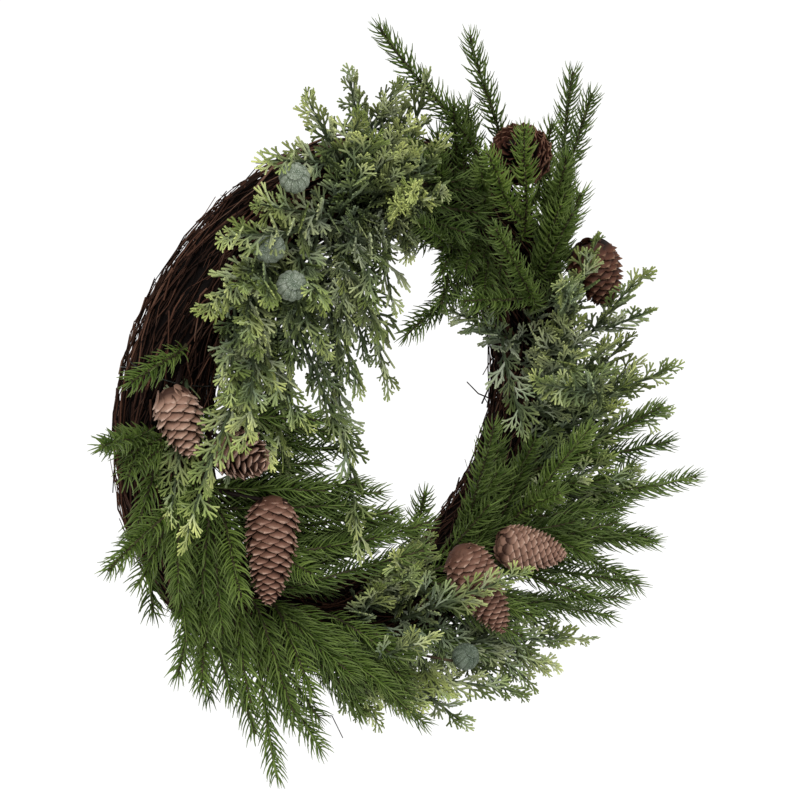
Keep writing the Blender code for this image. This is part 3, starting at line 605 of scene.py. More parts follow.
def endPick(tree, growth, wood, material):
    both = tree.add("GeometryNodeJoinGeometry")
    tree.put(both.inputs[0], growth)
    tree.put(both.inputs[0], wood)
    return tree.finish(both.outputs[0], material, "Stem material")


def growPick(name, kind, tree, paths, tone):
    source = edgeObject("stem", stemLines(kind, paths, tone))
    return grown(source, tree, name, Seed=seeds.randrange(9999))


# Pine: bottle brushes of needles

pine = {
    "length": 0.0200,
    "width": 0.00092,
    "form": ((0.42, 0.26), (0.63, 0.76)),  # middle and end of a needle's bend, out and ahead, in its lengths
    "slim": (2.5, 0.78),                   # how late and by how much a needle tapers
    "pitch": 0.00087,                      # along the stem from one needle to the next
    "loose": 0.5,                          # how far each strays from the golden turn, in radians
    "bare": (0.014, 0.004),                # bare foot of the main stem and of a shoot
    "first": 0.80,                         # size of the first needles, and how far on they are full
    "full": 0.03,
    "fadePower": 9,
    "stem": 0.0019,
    "stemTip": 0.0010,
    "bud": 0.0017,
    "short": 0.0045,
    "green": 0.25,
}


def pineTree():
    tree, wood, spots, ahead, turn = pickTree("pineGrowth", pine, {
        "Needle length": pine["length"],
        "Needle width": pine["width"],
        "Needle material": finishes["needle"],
    })

    # one needle: a bent spike that leaves the stem steeply and turns towards its tip
    length = tree.given["Needle length"]
    bend = [{0: tree.times(length, across), 2: tree.times(length, along)} for across, along in pine["form"]]
    middle, end = [tree.out("ShaderNodeCombineXYZ", sockets) for sockets in bend]
    bend = {"Resolution": 2, "Start": (0, 0, 0), "Middle": middle, "End": end}
    spine = tree.out("GeometryNodeCurveQuadraticBezier", bend)
    factor = tree.add("GeometryNodeSplineParameter").outputs["Factor"]
    spine = tree.store(spine, "along", factor)
    bluntness, taper = pine["slim"]
    slim = tree.minus(1.0, tree.times(tree.power(factor, bluntness), taper))
    needle = tree.tube(spine, 3, tree.times(tree.given["Needle width"], slim))

    # the last needles fold together over the bud
    out = tree.turned(tree.direction("front"), ahead, turn)
    fold = tree.times(tree.power(tree.attribute("share"), 12.0), -0.30)
    lean = tree.plus(tree.random(-0.12, 0.12, 7), fold)
    facing = tree.tilted(tree.facing(ahead, out, "ZX"), 0.0, lean, 0.0)
    reach = tree.attribute("reach")
    size = tree.times(reach, tree.random(0.86, 1.10, 11))
    needles = tree.planted(spots, needle, facing, size, 3, {"Selection": tree.above(reach, 0.05)})
    return endPick(tree, needles, wood, "Needle material")


pineGrowth = pineTree()
for name, entry in pinePicks.items():
    settle(growPick(name + "_needles", pine, pineGrowth, pickPaths(entry), entry[3]), name)
print("pine picks", len(pinePicks))


# Cedar: fronds of forked twiglets

cedar = {
    "twiglet": 0.031,
    "thick": 0.00176,
    "flat": 0.80,
    "variants": 6,
    # forks of a twiglet: where along it, how long, and the share and swing of their own side points
    "forks": ((0.16, 0.50, ((0.42, 30), (0.68, -28))), (0.34, 0.46, ((0.46, 30),)),
              (0.52, 0.38, ((0.52, 28),)), (0.70, 0.28, ())),
    "pitch": 0.0055,
    "loose": 0.4,
    "opening": (0.84, 0.40),               # how far twiglets stand off at the base and at the tip, in radians
    "bare": (0.006, 0.0),
    "first": 0.72,
    "full": 0.05,
    "fadePower": 2.5,
    "stem": 0.0018,
    "stemTip": 0.000684,
    "green": 1.0,
}


def twigletLines(draw):
    # A forked twiglet that runs along +X in the XY plane, its points bending forward like antlers
    reach = cedar["twiglet"] * draw.uniform(0.88, 1.08)
    bend = draw.uniform(-0.16, 0.16)
    droop = draw.uniform(-0.10, 0.20)

    def spot(x, y):
        share = x / reach
        return Vector((x, y + bend * reach * share * share, -droop * reach * share * share))

    def chain(x, y, length, angle, turn, steps, start, end):
        # one tapering run of the twiglet, from (x, y) towards angle, turning as it goes
        line = []
        for step in range(steps + 1):
            share = step / steps
            line.append((spot(x, y), {"thick": cedar["thick"] * (start + (end - start) * share),
                                      "young": min(max(x / reach, 0.0), 1.0) + 0.25 * share * (1.0 - start)}))
            x += length / steps * math.cos(angle)
            y += length / steps * math.sin(angle)
            angle += turn / steps
        return line

    lines = [chain(0.0, 0.0, reach, 0.0, 0.0, 3, 0.95, 0.74)]
    way = draw.choice((-1, 1))
    for share, size, points in cedar["forks"]:
        share += draw.uniform(-0.04, 0.04)
        way = -way
        angle = math.radians(draw.uniform(30, 46)) * way
        length = reach * size * draw.uniform(0.85, 1.2)
        lines.append(chain(reach * share, 0.0, length, angle, -0.45 * way, 2, 0.88, 0.72))
        for part, swing in points:
            swing = math.radians(swing + draw.uniform(-6, 6)) * way
            x = reach * share + length * part * math.cos(angle - 0.2 * way)
            y = length * part * math.sin(angle - 0.1 * way)
            short = length * draw.uniform(0.42, 0.60)
            lines.append(chain(x, y, short, angle + swing, -0.2 * way, 1, 0.80, 0.68))
    return lines


def sweepTree(name, sides, bark=0.0):
    # Round bodies along chains of edges, each as thick as its points say, with rough bark if asked
    tree = GrowthTree(name, {"Bark": bark, "Finish": finishes["twig"]})
    body = tree.tube(tree.lines(), sides, tree.attribute("thick"))
    if bark:
        rough = tree.add("ShaderNodeTexNoise", {"Scale": 160.0, "Detail": 2.0}).outputs["Color"]
        rough = tree.scaled(tree.vector("SUBTRACT", rough, (0.5, 0.5, 0.5)), tree.given["Bark"])
        body = tree.out("GeometryNodeSetPosition", {"Geometry": body, "Offset": rough})
    return tree.finish(tree.smooth(body), "Finish")


def cedarTree(variants):
    tree, wood, spots, ahead, turn = pickTree("cedarGrowth", cedar, {"Leaf material": finishes["cedar"]})
    twiglets = tree.add("GeometryNodeJoinGeometry")
    for variant in variants:
        tree.put(twiglets.inputs[0], tree.shape(variant))

    # more twiglets leave the stem to its left and right than to its front, and the last one runs straight on
    front = tree.direction("front")
    turn = tree.plus(turn, tree.times(tree.calc("SINE", tree.times(turn, 2.0)), 0.35))
    share = tree.attribute("share")
    atBase, atTip = cedar["opening"]
    opening = tree.minus(atBase, tree.times(share, atBase - atTip))
    opening = tree.plus(opening, tree.random(-0.22, 0.22, 9))
    opening = tree.times(tree.minus(1.0, tree.calc("GREATER_THAN", share, 0.985)), opening)
    aside = tree.scaled(tree.turned(front, ahead, turn), tree.calc("SINE", opening))
    heading = tree.vector("ADD", tree.scaled(ahead, tree.calc("COSINE", opening)), aside)
    face = tree.vector("CROSS_PRODUCT", heading, tree.vector("CROSS_PRODUCT", front, heading))
    facing = tree.facing(heading, tree.turned(face, heading, tree.random(-0.9, 0.9, 13)), "XZ")
    reach = tree.attribute("reach")
    size = tree.times(reach, tree.random(0.78, 1.12, 11))
    chosen = tree.add("FunctionNodeRandomValue", {4: 0, 5: len(variants) - 1, "Seed": tree.given["Seed"]},
                      data_type="INT").outputs[2]
    choice = {"Selection": tree.above(reach, 0.05), "Pick Instance": True, "Instance Index": chosen}
    leaves = tree.planted(spots, twiglets.outputs[0], facing, size, 3, choice)

    # the ends of the fronds are young and yellow green, their bases old and grey
    leaves = tree.realized(leaves)
    age = tree.plus(tree.times(tree.attribute("young"), 0.48), tree.times(share, 0.42))
    # tone also scales this yellow green; it is low in the beds set back in the wreath, as painted shade
    bright = tree.plus(0.10, tree.times(tree.attribute("tone"), 1.95))
    leaves = tree.store(leaves, "young", tree.times(tree.power(age, 1.9), bright))
    return endPick(tree, leaves, wood, "Leaf material")


thinSweep = sweepTree("twigletSweep", 3)
draw = random.Random(5)
twigletVariants = []
for number in range(cedar["variants"]):
    variant = grown(edgeObject("twiglet", twigletLines(draw)), thinSweep, f"twiglet{number}")
    for vertex in variant.data.vertices:
        vertex.co.z *= cedar["flat"]
    twigletVariants.append(variant)
cedarGrowth = cedarTree(twigletVariants)
for name, entry in cedarPicks.items():
    settle(growPick(name + "_leaves", cedar, cedarGrowth, pickPaths(entry), entry[3]), name)
print("cedar picks", len(cedarPicks))


# Cones and pods are listed before the filler growth, because it keeps clear of them

# Root, base, tip (mm), radius (mm), dye, how far the scales stand open, scales per turn, tone, their size
cones = {
    "cone_left_high": ((158, 70), (-219, 54, 67), (-215, 76, 20), 17, "pale", 0.12, 8, 1.0, 0.95),
    "cone_left_low": ((168, 92), (-176, 64, 19), (-163, 102, 8), 19, "pale", 0.02, 8, 1.0, 0.80),
    "cone_hanging": ((186, 92), (-139, 74, -28), (-163, 100, -108), 20, "pale", 0.30, 8, 0.22, 0.88),
    "cone_low_long": ((294, 96), (60, 62, -121), (86, 96, -198), 21, "pale", 0.32, 9, 0.20, 0.76),
    "cone_low_smooth": ((312, 92), (98, 70, -126), (150, 104, -138), 19, "pale", 0.0, 10, 0.70, 0.62),
    "cone_top_dark": ((56, 60), (136, 56, 210), (96, 82, 234), 25, "dark", 0.34, 9, 0.3, 0.80),
    "cone_right_dark": ((31, 50), (212, 52, 125), (232, 62, 69), 23, "dark", 0.20, 9, 0.6, 0.80),
}
# Root, middle (mm), bend of the stalk (mm), the way its crown looks, and how much painted shade darkens it
pods = {
    "pod_high": ((112, 84), (-122, 86, 230), (-12, 0, -14), (-0.45, -0.70, 0.35), 0.0),
    "pod_middle": ((126, 96), (-149, 90, 179), (0, 6, -6), (-0.60, -0.65, -0.30), 0.2),
    "pod_lower": ((128, 118), (-134, 98, 149), (0, 8, 0), (-0.20, -0.75, 0.50), 0.1),
    "pod_low": ((268, 72), (52, 86, -216), (0, 4, 0), (-0.30, -0.55, 0.70), 0.8),
}
studio = {
    "floor": -1.6,
    "floorHalf": 300.0,
    "target": Vector((0.044, 0.0, -0.161)),
    "distance": 1.8,
    "back": Vector((-0.5755, -0.7637, 0.2924)),  # to the camera: azimuth -37 degrees, elevation 17
    "lens": 92.25,
    "fill": ((2.4, -2.0, 0.9), 2.0, 13.0),       # place, size and power
    "sun": (Vector((0.50, 0.62, -0.85)), 38.0, 2.75),
    "sky": 0.46,
}


# Filler growth between the picks

# Each bed spreads its stems evenly between two ends: how many, clock of the roots, angle round the bundle,
# clock of the tips, their distance from the ring's centre (mm) for the first and the last of those angles,
# how far forward (mm), and tone. The tone is low in the beds set back in the wreath (dark, behind, nook):
# painted shade on the growth there
pineBeds = {
    "pine_bed_left": (17, (172, 229), (60, 122), (190, 240), (280, 232), (58, 118), (0.25, 0.7)),
    "pine_bed_low": (13, (223, 262), (82, 126), (246, 268), (250, 190), (80, 118), (0.28, 0.65)),
    "pine_bed_hollow": (17, (165, 231), (98, 156), (158, 276), (108, 60), (54, 115), (0.26, 0.56)),
    "pine_bed_side": (14, (298, 340), (60, 132), (318, 350), (290, 185), (66, 114), (0.15, 0.45)),
    "pine_bed_point": (3, (309, 326), (58, 70), (323, 333), (322, 300), (84, 98), (0.25, 0.4)),
    "pine_bed_heart": (8, (291, 323), (112, 155), (312, 350), (150, 105), (52, 80), (0.3, 0.58)),
    "pine_bed_edge": (5, (284, 308), (138, 160), (304, 328), (172, 156), (40, 62), (0.3, 0.6)),
    "pine_bed_dark": (8, (66, 86), (82, 132), (58, 84), (222, 150), (66, 100), (0.08, 0.35)),
    "pine_bed_right": (12, (22, 60), (66, 106), (44, 80), (268, 224), (72, 120), (0.43, 0.8)),
    "pine_bed_inner": (11, (38, 66), (104, 138), (34, 86), (165, 100), (54, 92), (0.26, 0.47)),
    "pine_bed_high": (5, (151, 174), (65, 96), (163, 177), (284, 245), (68, 96), (0.47, 0.68)),
    "pine_bed_behind": (11, (177, 219), (115, 163), (188, 245), (135, 75), (36, 56), (0.13, 0.31)),
    "pine_bed_gaps": (8, (246, 336), (75, 145), (276, 329), (270, 210), (60, 112), (0.25, 0.52)),
    "pine_bed_tufts": (4, (62, 74), (50, 110), (74, 86), (278, 250), (54, 78), (0.37, 0.55)),
    "pine_bed_nook": (6, (186, 219), (108, 166), (196, 256), (168, 105), (20, 56), (0.12, 0.34)),
}
cedarBeds = {
    "cedar_bed_top": (13, (84, 109), (58, 122), (86, 106), (294, 215), (72, 112), (0.32, 0.72)),
    "cedar_bed_dark": (8, (86, 107), (98, 122), (93, 114), (194, 164), (84, 110), (0.1, 0.35)),
    "cedar_bed_fall": (15, (94, 140), (97, 147), (102, 190), (184, 76), (58, 112), (0.2, 0.5)),
    "cedar_bed_left": (14, (114, 162), (75, 118), (122, 187), (238, 128), (74, 115), (0.46, 0.92)),
    "cedar_bed_right": (14, (341, 370), (76, 139), (354, 388), (260, 160), (58, 108), (0.26, 0.65)),
    "cedar_bed_inner": (13, (338, 380), (106, 152), (344, 388), (216, 156), (52, 88), (0.15, 0.5)),
    "cedar_bed_low": (12, (250, 286), (62, 122), (256, 281), (245, 215), (64, 108), (0.35, 0.73)),
    "cedar_bed_heart": (9, (258, 282), (108, 148), (250, 284), (140, 102), (66, 105), (0.41, 0.68)),
    "cedar_bed_gaps": (4, (83, 110), (74, 130), (94, 121), (158, 106), (80, 98), (0.4, 0.58)),
    "cedar_bed_ends": (6, (312, 345), (80, 134), (334, 356), (272, 165), (68, 107), (0.34, 0.72)),
    "cedar_bed_behind": (5, (287, 300), (60, 122), (292, 304), (270, 240), (46, 55), (0.23, 0.3)),
    "cedar_bed_tuft": (2, (80, 88), (106, 112), (94, 106), (222, 206), (122, 128), (1.3, 1.5)),
    "cedar_bed_rim": (4, (280, 305), (58, 74), (290, 308), (288, 268), (68, 96), (0.42, 0.68)),
}
bedRule = {
    "tries": 12,
    "shift": (0.23, 5),   # what each further try adds to the share of the clock and to the stem's number
    "swing": 3.0,         # degrees
    "ragged": 6.0,        # mm
    "steps": 18,
    "clear": 0.009,       # half the width of the growth in front of a cone or a pod
    "foot": 6,            # points at the foot of a stem that may hide them
}
bedDraw = random.Random(3)

# What a filler stem may not hide from the camera: the pods, and each cone at a quarter and at three quarters
shown = [(place(*pod[1]), 0.012) for pod in pods.values()]
for cone in cones.values():
    base, tip, radius = cone[1:4]
    shown += [(place(*base).lerp(place(*tip), share), radius * mm) for share in (0.25, 0.75)]


def between(span, share):
    return span[0] + (span[1] - span[0]) * share


def bedStem(bed, number, trial):
    # The path and the tone of one stem; the golden share keeps neighbours from lying alike
    count, clocks, arounds, tipClocks, reaches, forwards, tones = bed
    along, onward = bedRule["shift"]
    share = ((number + 0.5) / count + along * trial) % 1.0
    lay = ((number + onward * trial) * goldenShare) % 1.0
    swing = bedDraw.uniform(-bedRule["swing"], bedRule["swing"])
    tipClock = math.radians(between(tipClocks, share) + swing)
    reach = between(reaches, lay) + bedDraw.uniform(-bedRule["ragged"], bedRule["ragged"])
    tip = place(reach * math.cos(tipClock), between(forwards, bedDraw.random()), reach * math.sin(tipClock))
    path = stemPath(*rootOn(between(clocks, share), between(arounds, lay)), tip, bedRule["steps"])
    return path, between(tones, bedDraw.random())


def hides(path):
    # Whether the outer part of a stem, as wide as its growth, lies in front of a cone or a pod
    for centre, radius in shown:
        for spot in path[bedRule["foot"]:]:
            gap = spot - centre
            nearer = gap.dot(studio["back"])
            if nearer > 0.0 and (gap - studio["back"] * nearer).length < radius + bedRule["clear"]:
                return True
    return False


def growBed(name, bed, kind, tree):
    # A stem that hides a cone or a pod is tried again, and left out after the last try
    grownStems = []
    for number in range(bed[0]):
        for trial in range(bedRule["tries"]):
            path, tone = bedStem(bed, number, trial)
            if not hides(path):
                grownStems.append(growPick(name, kind, tree, [path], tone))
                break
    return joined(name, grownStems)


for name, bed in pineBeds.items():
    settle(growBed(name, bed, pine, pineGrowth))
for name, bed in cedarBeds.items():
    settle(growBed(name, bed, cedar, cedarGrowth))
for variant in twigletVariants:
    bpy.data.objects.remove(variant)
print("beds", len(pineBeds) + len(cedarBeds))


# Twig ring

twigs = {
    "count": 2900,
    "steps": 6,
    "span": (10.0, 36.0),      # degrees of the clock
    "thick": (0.0006, 0.0013),
    "layer": (-0.0030, 0.0080),  # height of the lowest twigs, and how deep their layer is
    "stray": 0.14,             # share of the twigs whose ends stand off
    "strayLift": (0.003, 0.010),
    "lift": (0.0, 0.003),
    "foot": 0.16,              # shares of a twig that rise off the bundle at its foot and at its end
    "end": 0.34,
    "bark": 0.0006,
    "core": 0.0036,
    "coreRows": 96,
    "coreSides": 20,
    "seed": 11,
}

# Loose twig ends that hang out of the bundle (right, forward, up in mm)
looseTwigs = (
    ((-135, 60, -220), (-124, 60, -230), (-97, 60, -240), (-74, 60, -247), (-63, 60, -271)),
    ((156, 10, -20), (141, 10, -15), (124, 10, -6), (111, 10, 7)),
    ((142, 10, -82), (132, 10, -77), (125, 10, -66)),
    ((99, 20, -119), (92, 20, -119), (87, 20, -110)),
    ((-230, 0, -30), (-235, 0, -7), (-238, 0, 6)),
)


def twigLine(draw):
    # One twig that runs along the bundle at its own place round it and crosses its neighbours
    start = draw.uniform(0.0, 360.0)
    span = draw.uniform(*twigs["span"]) * draw.choice((-1, 1))
    around = draw.uniform(0.0, 360.0)
    drift = draw.gauss(0.0, 0.95) * abs(span)
    depth = draw.random()
    layer = twigs["layer"][0] + twigs["layer"][1] * depth
    stray = draw.random() < twigs["stray"]
    lift = draw.uniform(*twigs["strayLift" if stray else "lift"])
    thick = draw.uniform(*twigs["thick"]) * (0.8 if stray else 1.0)
    wander = draw.uniform(0.0, 100.0)
    # deeper twigs (small depth) get lower tints, so darker bark: painted shade inside the bundle
    tint = draw.random() ** 1.2 * (0.30 + 0.70 * depth)
    line = []
    for step in range(twigs["steps"] + 1):
        share = step / twigs["steps"]
        clock = start + span * share
        turn = around + drift * share + 20.0 * noise.noise(Vector((wander, share * 1.7, 0.0)))
        height = layer + 0.0055 * noise.noise(Vector((wander, 7.0, share * 2.6)))
        height += lift * (max(share - 1.0 + twigs["end"], 0.0) / twigs["end"]) ** 2
        height += 0.5 * lift * max(twigs["foot"] - share, 0.0) / twigs["foot"]
        spot = onRing(clock, turn, height)
        spot.y = min(spot.y, ring["back"] - thick)
        size = thick * (1.0 - 0.50 * share) * (1.0 + 0.22 * noise.noise(Vector((wander, share * 14.0, 3.0))))
        line.append((spot, {"thick": size, "tint": tint}))
    return line


def looseLine(points):
    return [(place(*point), {"thick": 0.0009 - 0.0001 * number, "tint": 0.2})
            for number, point in enumerate(points)]


def ringCore():
    # A near black body below the twigs: painted shade deep in the bundle
    rows, sides = twigs["coreRows"], twigs["coreSides"]
    points = []
    for row in range(rows):
        for side in range(sides):
            spot = onRing(360.0 * row / rows, 360.0 * side / sides, -twigs["core"])
            spot.y = min(spot.y, ring["back"] - 0.0015)
            points.append(spot)
    # tint 0 gives it the blackest bark, as painted shade
    marks = {"tint": [0.0] * len(points)}
    return meshObject("ringCore", points, ringFaces(rows, sides, True), marks, finishes["twig"])


draw = random.Random(twigs["seed"])
lines = [twigLine(draw) for number in range(twigs["count"])] + [looseLine(points) for points in looseTwigs]
bark = grown(edgeObject("twigLines", lines), sweepTree("twigSweep", 3, twigs["bark"]), "twigs")
settle(joined("twig_ring_bark", [bark, ringCore()]), "twig_ring")
print("twigs", len(lines))


# Binding wires, one turn round the bundle each

wires = {
    "segments": 54,            # of the ring in the CAD
    "at": (24, 44, 4),         # the segments that a wire lies on
    "thick": 0.00055,
    "lift": 0.0046,
    "points": 90,
    "sides": 6,
}
wireSweep = sweepTree("wireSweep", wires["sides"])
for number, segment in enumerate(wires["at"], 1):
    line = []
    for point in range(wires["points"] + 1):
        share = point / wires["points"]
        turn = 360.0 * share
        clock = 360.0 * segment / wires["segments"] + 1.3 * math.sin(math.radians(turn * 1.5)) + 1.2 * share
        spot = onRing(clock, turn, wires["lift"] + 0.0008 * math.sin(turn * 0.21))
        spot.y = min(spot.y, ring["back"] - wires["thick"])
        line.append((spot, {"thick": wires["thick"]}))
    node = f"binding_wire_{number}"
    piece = grown(edgeObject(node, [line]), wireSweep, node + "_round", Finish=finishes["wire"])
    settle(piece, node)
print("binding wires", len(wires["at"]))


# Cones

scale = {"long": 0.0150, "wide": 0.0074, "thick": 0.0009, "rows": 5, "columns": 4, "pitch": 0.0052}
coneForm = {
    "dome": 0.12,              # share of the cone whose scales are smaller, over the domed heart
    # open roots are spared the painted shade that darkens the roots of the other scales
    "open": (0.15, 0.60),      # share whose scales lie open to their roots, and how light those are
    "flare": (0.14, 48),       # share whose scales turn outwards at the base, and by how many degrees
    "heartSteps": 18,
    "heartSides": 10,
    "stalk": 0.0019,
    "stalkSteps": 10,
}


def scaleObject(name):
    # One scale: a cupped shield along +X with a thick round end, its outer face towards +Z
    points, faces, along = [], [], []
    rows, columns = scale["rows"], scale["columns"]
    for skin in (1, -1):
        for row in range(rows + 1):
            share = row / rows
            rounding = math.sqrt(max(1.0 - max((share - 0.5) / 0.5, 0.0) ** 2.4, 0.0))
            half = scale["wide"] * (0.40 + 0.65 * math.sin(math.pi * min(share, 0.5))) * rounding
            half = max(half, 0.0004)
            lip = 0.0011 * max(share - 0.6, 0.0) / 0.4
            for column in range(columns + 1):
                across = 2.0 * column / columns - 1.0
                curve = 0.0018 * (1.0 - across * across) * (0.4 + 0.6 * share)
                swell = scale["thick"] * (0.25 + 0.75 * share) * (1.0 - 0.55 * across * across)
                points.append((scale["long"] * share - 0.0009 * across * across * share, half * across,
                               curve + skin * swell * 0.5 + lip))
                along.append(share)
    width = columns + 1
    size = (rows + 1) * width
    for row in range(rows):
        for column in range(columns):
            first = row * width + column
            faces.append((first + width, first + width + 1, first + 1, first))
            faces.append((size + first, size + first + 1, size + first + width + 1, size + first + width))
    rim = [row * width for row in range(rows + 1)] + [rows * width + column for column in range(1, width)]
    rim += [row * width + columns for row in range(rows - 1, -1, -1)] + list(range(columns - 1, 0, -1))
    for first, second in zip(rim, rim[1:] + rim[:1]):
        faces.append((first, second, size + second, size + first))
    thing = meshObject(name, points, faces, {"along": along})
    work = bmesh.new()
    work.from_mesh(thing.data)
    bmesh.ops.recalc_face_normals(work, faces=work.faces)
    work.to_mesh(thing.data)
    work.free()
    thing.data.shade_smooth()
    return thing


def coneTree(shape):
    tree = GrowthTree("coneScales", {"Finish": finishes["cone_pale"], "Seed": 1})
    wobble = (tree.random(-0.10, 0.10), tree.random(-0.08, 0.08, 2), tree.random(-0.07, 0.07, 4))
    facing = tree.tilted(tree.facing(tree.direction("heading"), tree.direction("outward"), "XZ"), *wobble)
    spots = tree.out("GeometryNodeMeshToPoints", {"Mesh": tree.given["Geometry"]})
    scales = tree.realized(tree.planted(spots, tree.shape(shape), facing, tree.attribute("size"), 6))
    # the roots of the first scales lie open, so they get none of the painted shade of hidden roots and are as
    # light as the middle of a scale
    light = tree.calc("MAXIMUM", tree.attribute("along"), tree.attribute("open"))
    return tree.finish(tree.store(scales, "along", light), "Finish")


def coneOutline(share):
    # Radius along a cone as a share of its widest: full at a third, slimmer from there on, blunt at its tip
    full = (1.0 - (1.0 - min(share / 0.30, 1.0)) ** 2.2) ** 0.6
    slim = 1.0 - 0.74 * max((share - 0.3) / 0.7, 0.0) ** 2.2
    blunt = math.sqrt(1.0 - 0.92 * max((share - 0.86) / 0.14, 0.0) ** 2)
    return full * slim * blunt


def stalkLine(root, knee, end, steps, marks):
    # A bent stalk from its root to its end, drawn towards the knee
    line = []
    for step in range(steps + 1):
        t = step / steps
        line.append((root.lerp(knee, t).lerp(knee.lerp(end, t), t), marks))
    return line


def coneSpots(cone, base, axis, length):
    # A spot for each scale, in golden turns: it starts inside and behind, and its end lies on the outline
    east, north = squareTo(axis)
    spots = []
    count = max(int(length / (scale["pitch"] * cone["grain"])), 6) * cone["perTurn"]
    flare, flareAngle = coneForm["flare"]
    openShare, openLight = coneForm["open"]
    for number in range(count):
        share = (number + 0.5) / count
        turn = number * goldenAngle
        out = east * math.cos(turn) + north * math.sin(turn)
        outline = cone["radius"] * mm * coneOutline(0.015 + 0.985 * share)
        lean = 20 + 50 * cone["gape"] * (1.0 - 0.55 * share) + flareAngle * max(flare - share, 0.0) / flare
        lean = math.radians(lean)
        heading = axis * math.cos(lean) + out * math.sin(lean)
        size = (0.55 + 0.75 * outline / 0.020) * (1.0 - 0.25 * share) * cone["grain"]
        size *= 0.50 + 0.50 * min(share / coneForm["dome"], 1.0)
        end = base + axis * length * (0.03 + 0.99 * share) + out * outline
        marks = {"heading": heading, "outward": out * math.cos(lean) - axis * math.sin(lean), "size": size,
                 "open": openLight if share < openShare else 0.0, "tone": cone["tone"]}
        spots.append([(end - heading * scale["long"] * size, marks)])
    return edgeObject("coneSpots", spots)


def coneHeart(cone, base, axis, length):
    # The heart under the scales, full at its base so that the first scales lie on a dome; it is painted dark
    # as shade under the scales, and lighter on the open dome
    line = []
    for step in range(coneForm["heartSteps"] + 1):
        share = (step / coneForm["heartSteps"]) ** 1.6
        full = 0.95 - 0.40 * min(max(share - 0.05, 0.0) / 0.20, 1.0)
        thick = max(cone["radius"] * mm * coneOutline(0.005 + 0.995 * share) * full, 0.0016)
        # painted shade: the heart gets the dark colour of a scale's hidden root, and the open dome the
        # lighter colour of open roots
        light = coneForm["open"][1] if share < coneForm["dome"] else 0.3
        spot = base + axis * length * (0.005 + 0.955 * share)
        line.append((spot, {"thick": thick, "tint": 1.0, "along": light, "tone": cone["tone"]}))
    return line


def growCone(name, cone):
    base, tip = place(*cone["base"]), place(*cone["tip"])
    axis, length = (tip - base).normalized(), (tip - base).length
    finish = finishes["cone_" + cone["dye"]]
    source = coneSpots(cone, base, axis, length)
    scales = grown(source, coneGrowth, "scales", Finish=finish, Seed=seeds.randrange(9999))
    root, away = rootOn(*cone["root"])
    knee = root.lerp(base, 0.45) + away * (base - root).length * 0.12
    marks = {"thick": coneForm["stalk"], "tint": 1.0, "along": 0.2, "tone": 0.0}
    stalk = stalkLine(root, knee, base + axis * 0.006, coneForm["stalkSteps"], marks)
    source = edgeObject("coneHeart", [coneHeart(cone, base, axis, length), stalk])
    return joined(name + "_scales", [scales, grown(source, heartSweep, "heart", Finish=finish)])


scaleShape = scaleObject("coneScale")
coneGrowth = coneTree(scaleShape)
heartSweep = sweepTree("heartSweep", coneForm["heartSides"])
for name, entry in cones.items():
    cone = dict(zip(("root", "base", "tip", "radius", "dye", "gape", "perTurn", "tone", "grain"), entry))
    settle(growCone(name, cone), name)
bpy.data.objects.remove(scaleShape)
print("cones", len(cones))


# Pods

podForm = {"radius": 0.0120, "ribs": 11, "sides": 66, "rib": 0.0009, "stalk": 0.0012, "stalkSteps": 14}
# Height and width from the stalk's end over the belly to the rim and the pit of the crown, in pod radii
podProfile = ((-1.02, 0.16), (-0.97, 0.40), (-0.86, 0.64), (-0.62, 0.86), (-0.30, 1.00), (0.0, 1.02),
              (0.30, 0.95), (0.55, 0.78), (0.70, 0.58), (0.76, 0.44), (0.80, 0.50), (0.88, 0.56),
              (0.90, 0.50), (0.84, 0.34), (0.80, 0.18), (0.84, 0.05))


def podBody(name, middle, axis, shade):
    # A ribbed body turned round its axis, its ribs fading towards both ends
    east, north = squareTo(axis)
    rows, sides, radius = len(podProfile), podForm["sides"], podForm["radius"]
    points, along = [], []
    for height, width in podProfile:
        swell = max(1.0 - abs(height) * 0.9, 0.0)
        for side in range(sides):
            turn = 2.0 * math.pi * side / sides
            out = east * math.cos(turn) + north * math.sin(turn)
            rib = abs(math.cos(turn * podForm["ribs"] / 2.0)) ** 0.6
            reach = radius * width - podForm["rib"] * (1.0 - rib) * (0.25 + swell)
            points.append(middle + axis * radius * height + out * reach)
            along.append(rib)
    faces = ringFaces(rows, sides)
    faces.append(tuple(range(sides))[::-1])
    faces.append(tuple((rows - 1) * sides + side for side in range(sides)))
    # tone holds the pod's painted shade, given in its table
    body = meshObject(name, points, faces, {"along": along, "tone": [shade] * len(points)}, finishes["pod"])
    for polygon in body.data.polygons:
        polygon.use_smooth = len(polygon.vertices) == 4
    return body


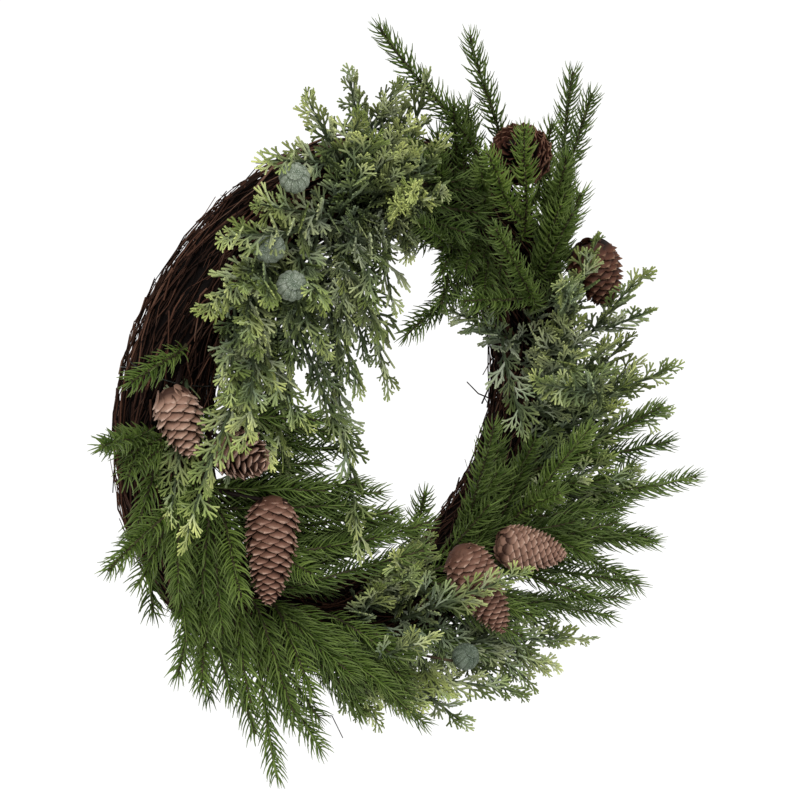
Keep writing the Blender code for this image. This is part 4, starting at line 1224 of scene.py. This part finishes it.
def growPod(name, entry):
    root, middle, bend, crown, shade = entry
    root, away = rootOn(*root)
    middle = place(*middle)
    bend = place(*bend) - ring["centre"]
    knee = root.lerp(middle, 0.5) + away * (middle - root).length * 0.15 + bend
    axis = ((middle - knee).normalized() * 0.35 + Vector(crown)).normalized()
    end = middle - axis * podForm["radius"] * 0.9
    stalk = stalkLine(root, knee, end, podForm["stalkSteps"], {"thick": podForm["stalk"], "along": 1.0})
    stalk = grown(edgeObject("podStalk", [stalk]), heartSweep, "stalk", Finish=finishes["stem"])
    return joined(name + "_body_ribbed", [podBody(name, middle, axis, shade), stalk])


for name, entry in pods.items():
    settle(growPod(name, entry), name)
print("pods", len(pods))


# Floor, light and camera

def aimed(thing, way):
    thing.rotation_euler = way.to_track_quat("-Z", "Y").to_euler()
    return thing


def studioFloor():
    half, low = studio["floorHalf"], studio["floor"]
    look = Look("paleFloor", 0.9, 0.1)
    corners = [(-half, -half, low), (half, -half, low), (half, half, low), (-half, half, low)]
    return meshObject("floor", corners, [(0, 1, 2, 3)], {}, look.done((0.97, 0.97, 0.97, 1.0)))


def fillLight(spot, size, power):
    lamp = bpy.data.lights.new("fillLight", "AREA")
    lamp.size = size
    lamp.energy = power
    aimed(linked("fillLight", lamp), studio["target"] - Vector(spot)).location = spot


def wideSun(way, angle, power):
    sun = bpy.data.lights.new("wideSun", "SUN")
    sun.angle = math.radians(angle)
    sun.energy = power
    aimed(linked("wideSun", sun), way)


def paleRoom(strength):
    world = bpy.data.worlds.new("paleRoom")
    world.use_nodes = True
    world.node_tree.nodes["Background"].inputs["Color"].default_value = (1.0, 1.0, 1.0, 1.0)
    world.node_tree.nodes["Background"].inputs["Strength"].default_value = strength
    bpy.context.scene.world = world
    bpy.context.scene.view_settings.view_transform = "Standard"


studioFloor()
fillLight(*studio["fill"])
wideSun(*studio["sun"])
paleRoom(studio["sky"])
camera = linked("camera", bpy.data.cameras.new("camera"))
camera.data.lens = studio["lens"]
camera.data.sensor_width = 36.0
camera.location = studio["target"] + studio["back"] * studio["distance"]
aimed(camera, -studio["back"])
bpy.context.scene.camera = camera
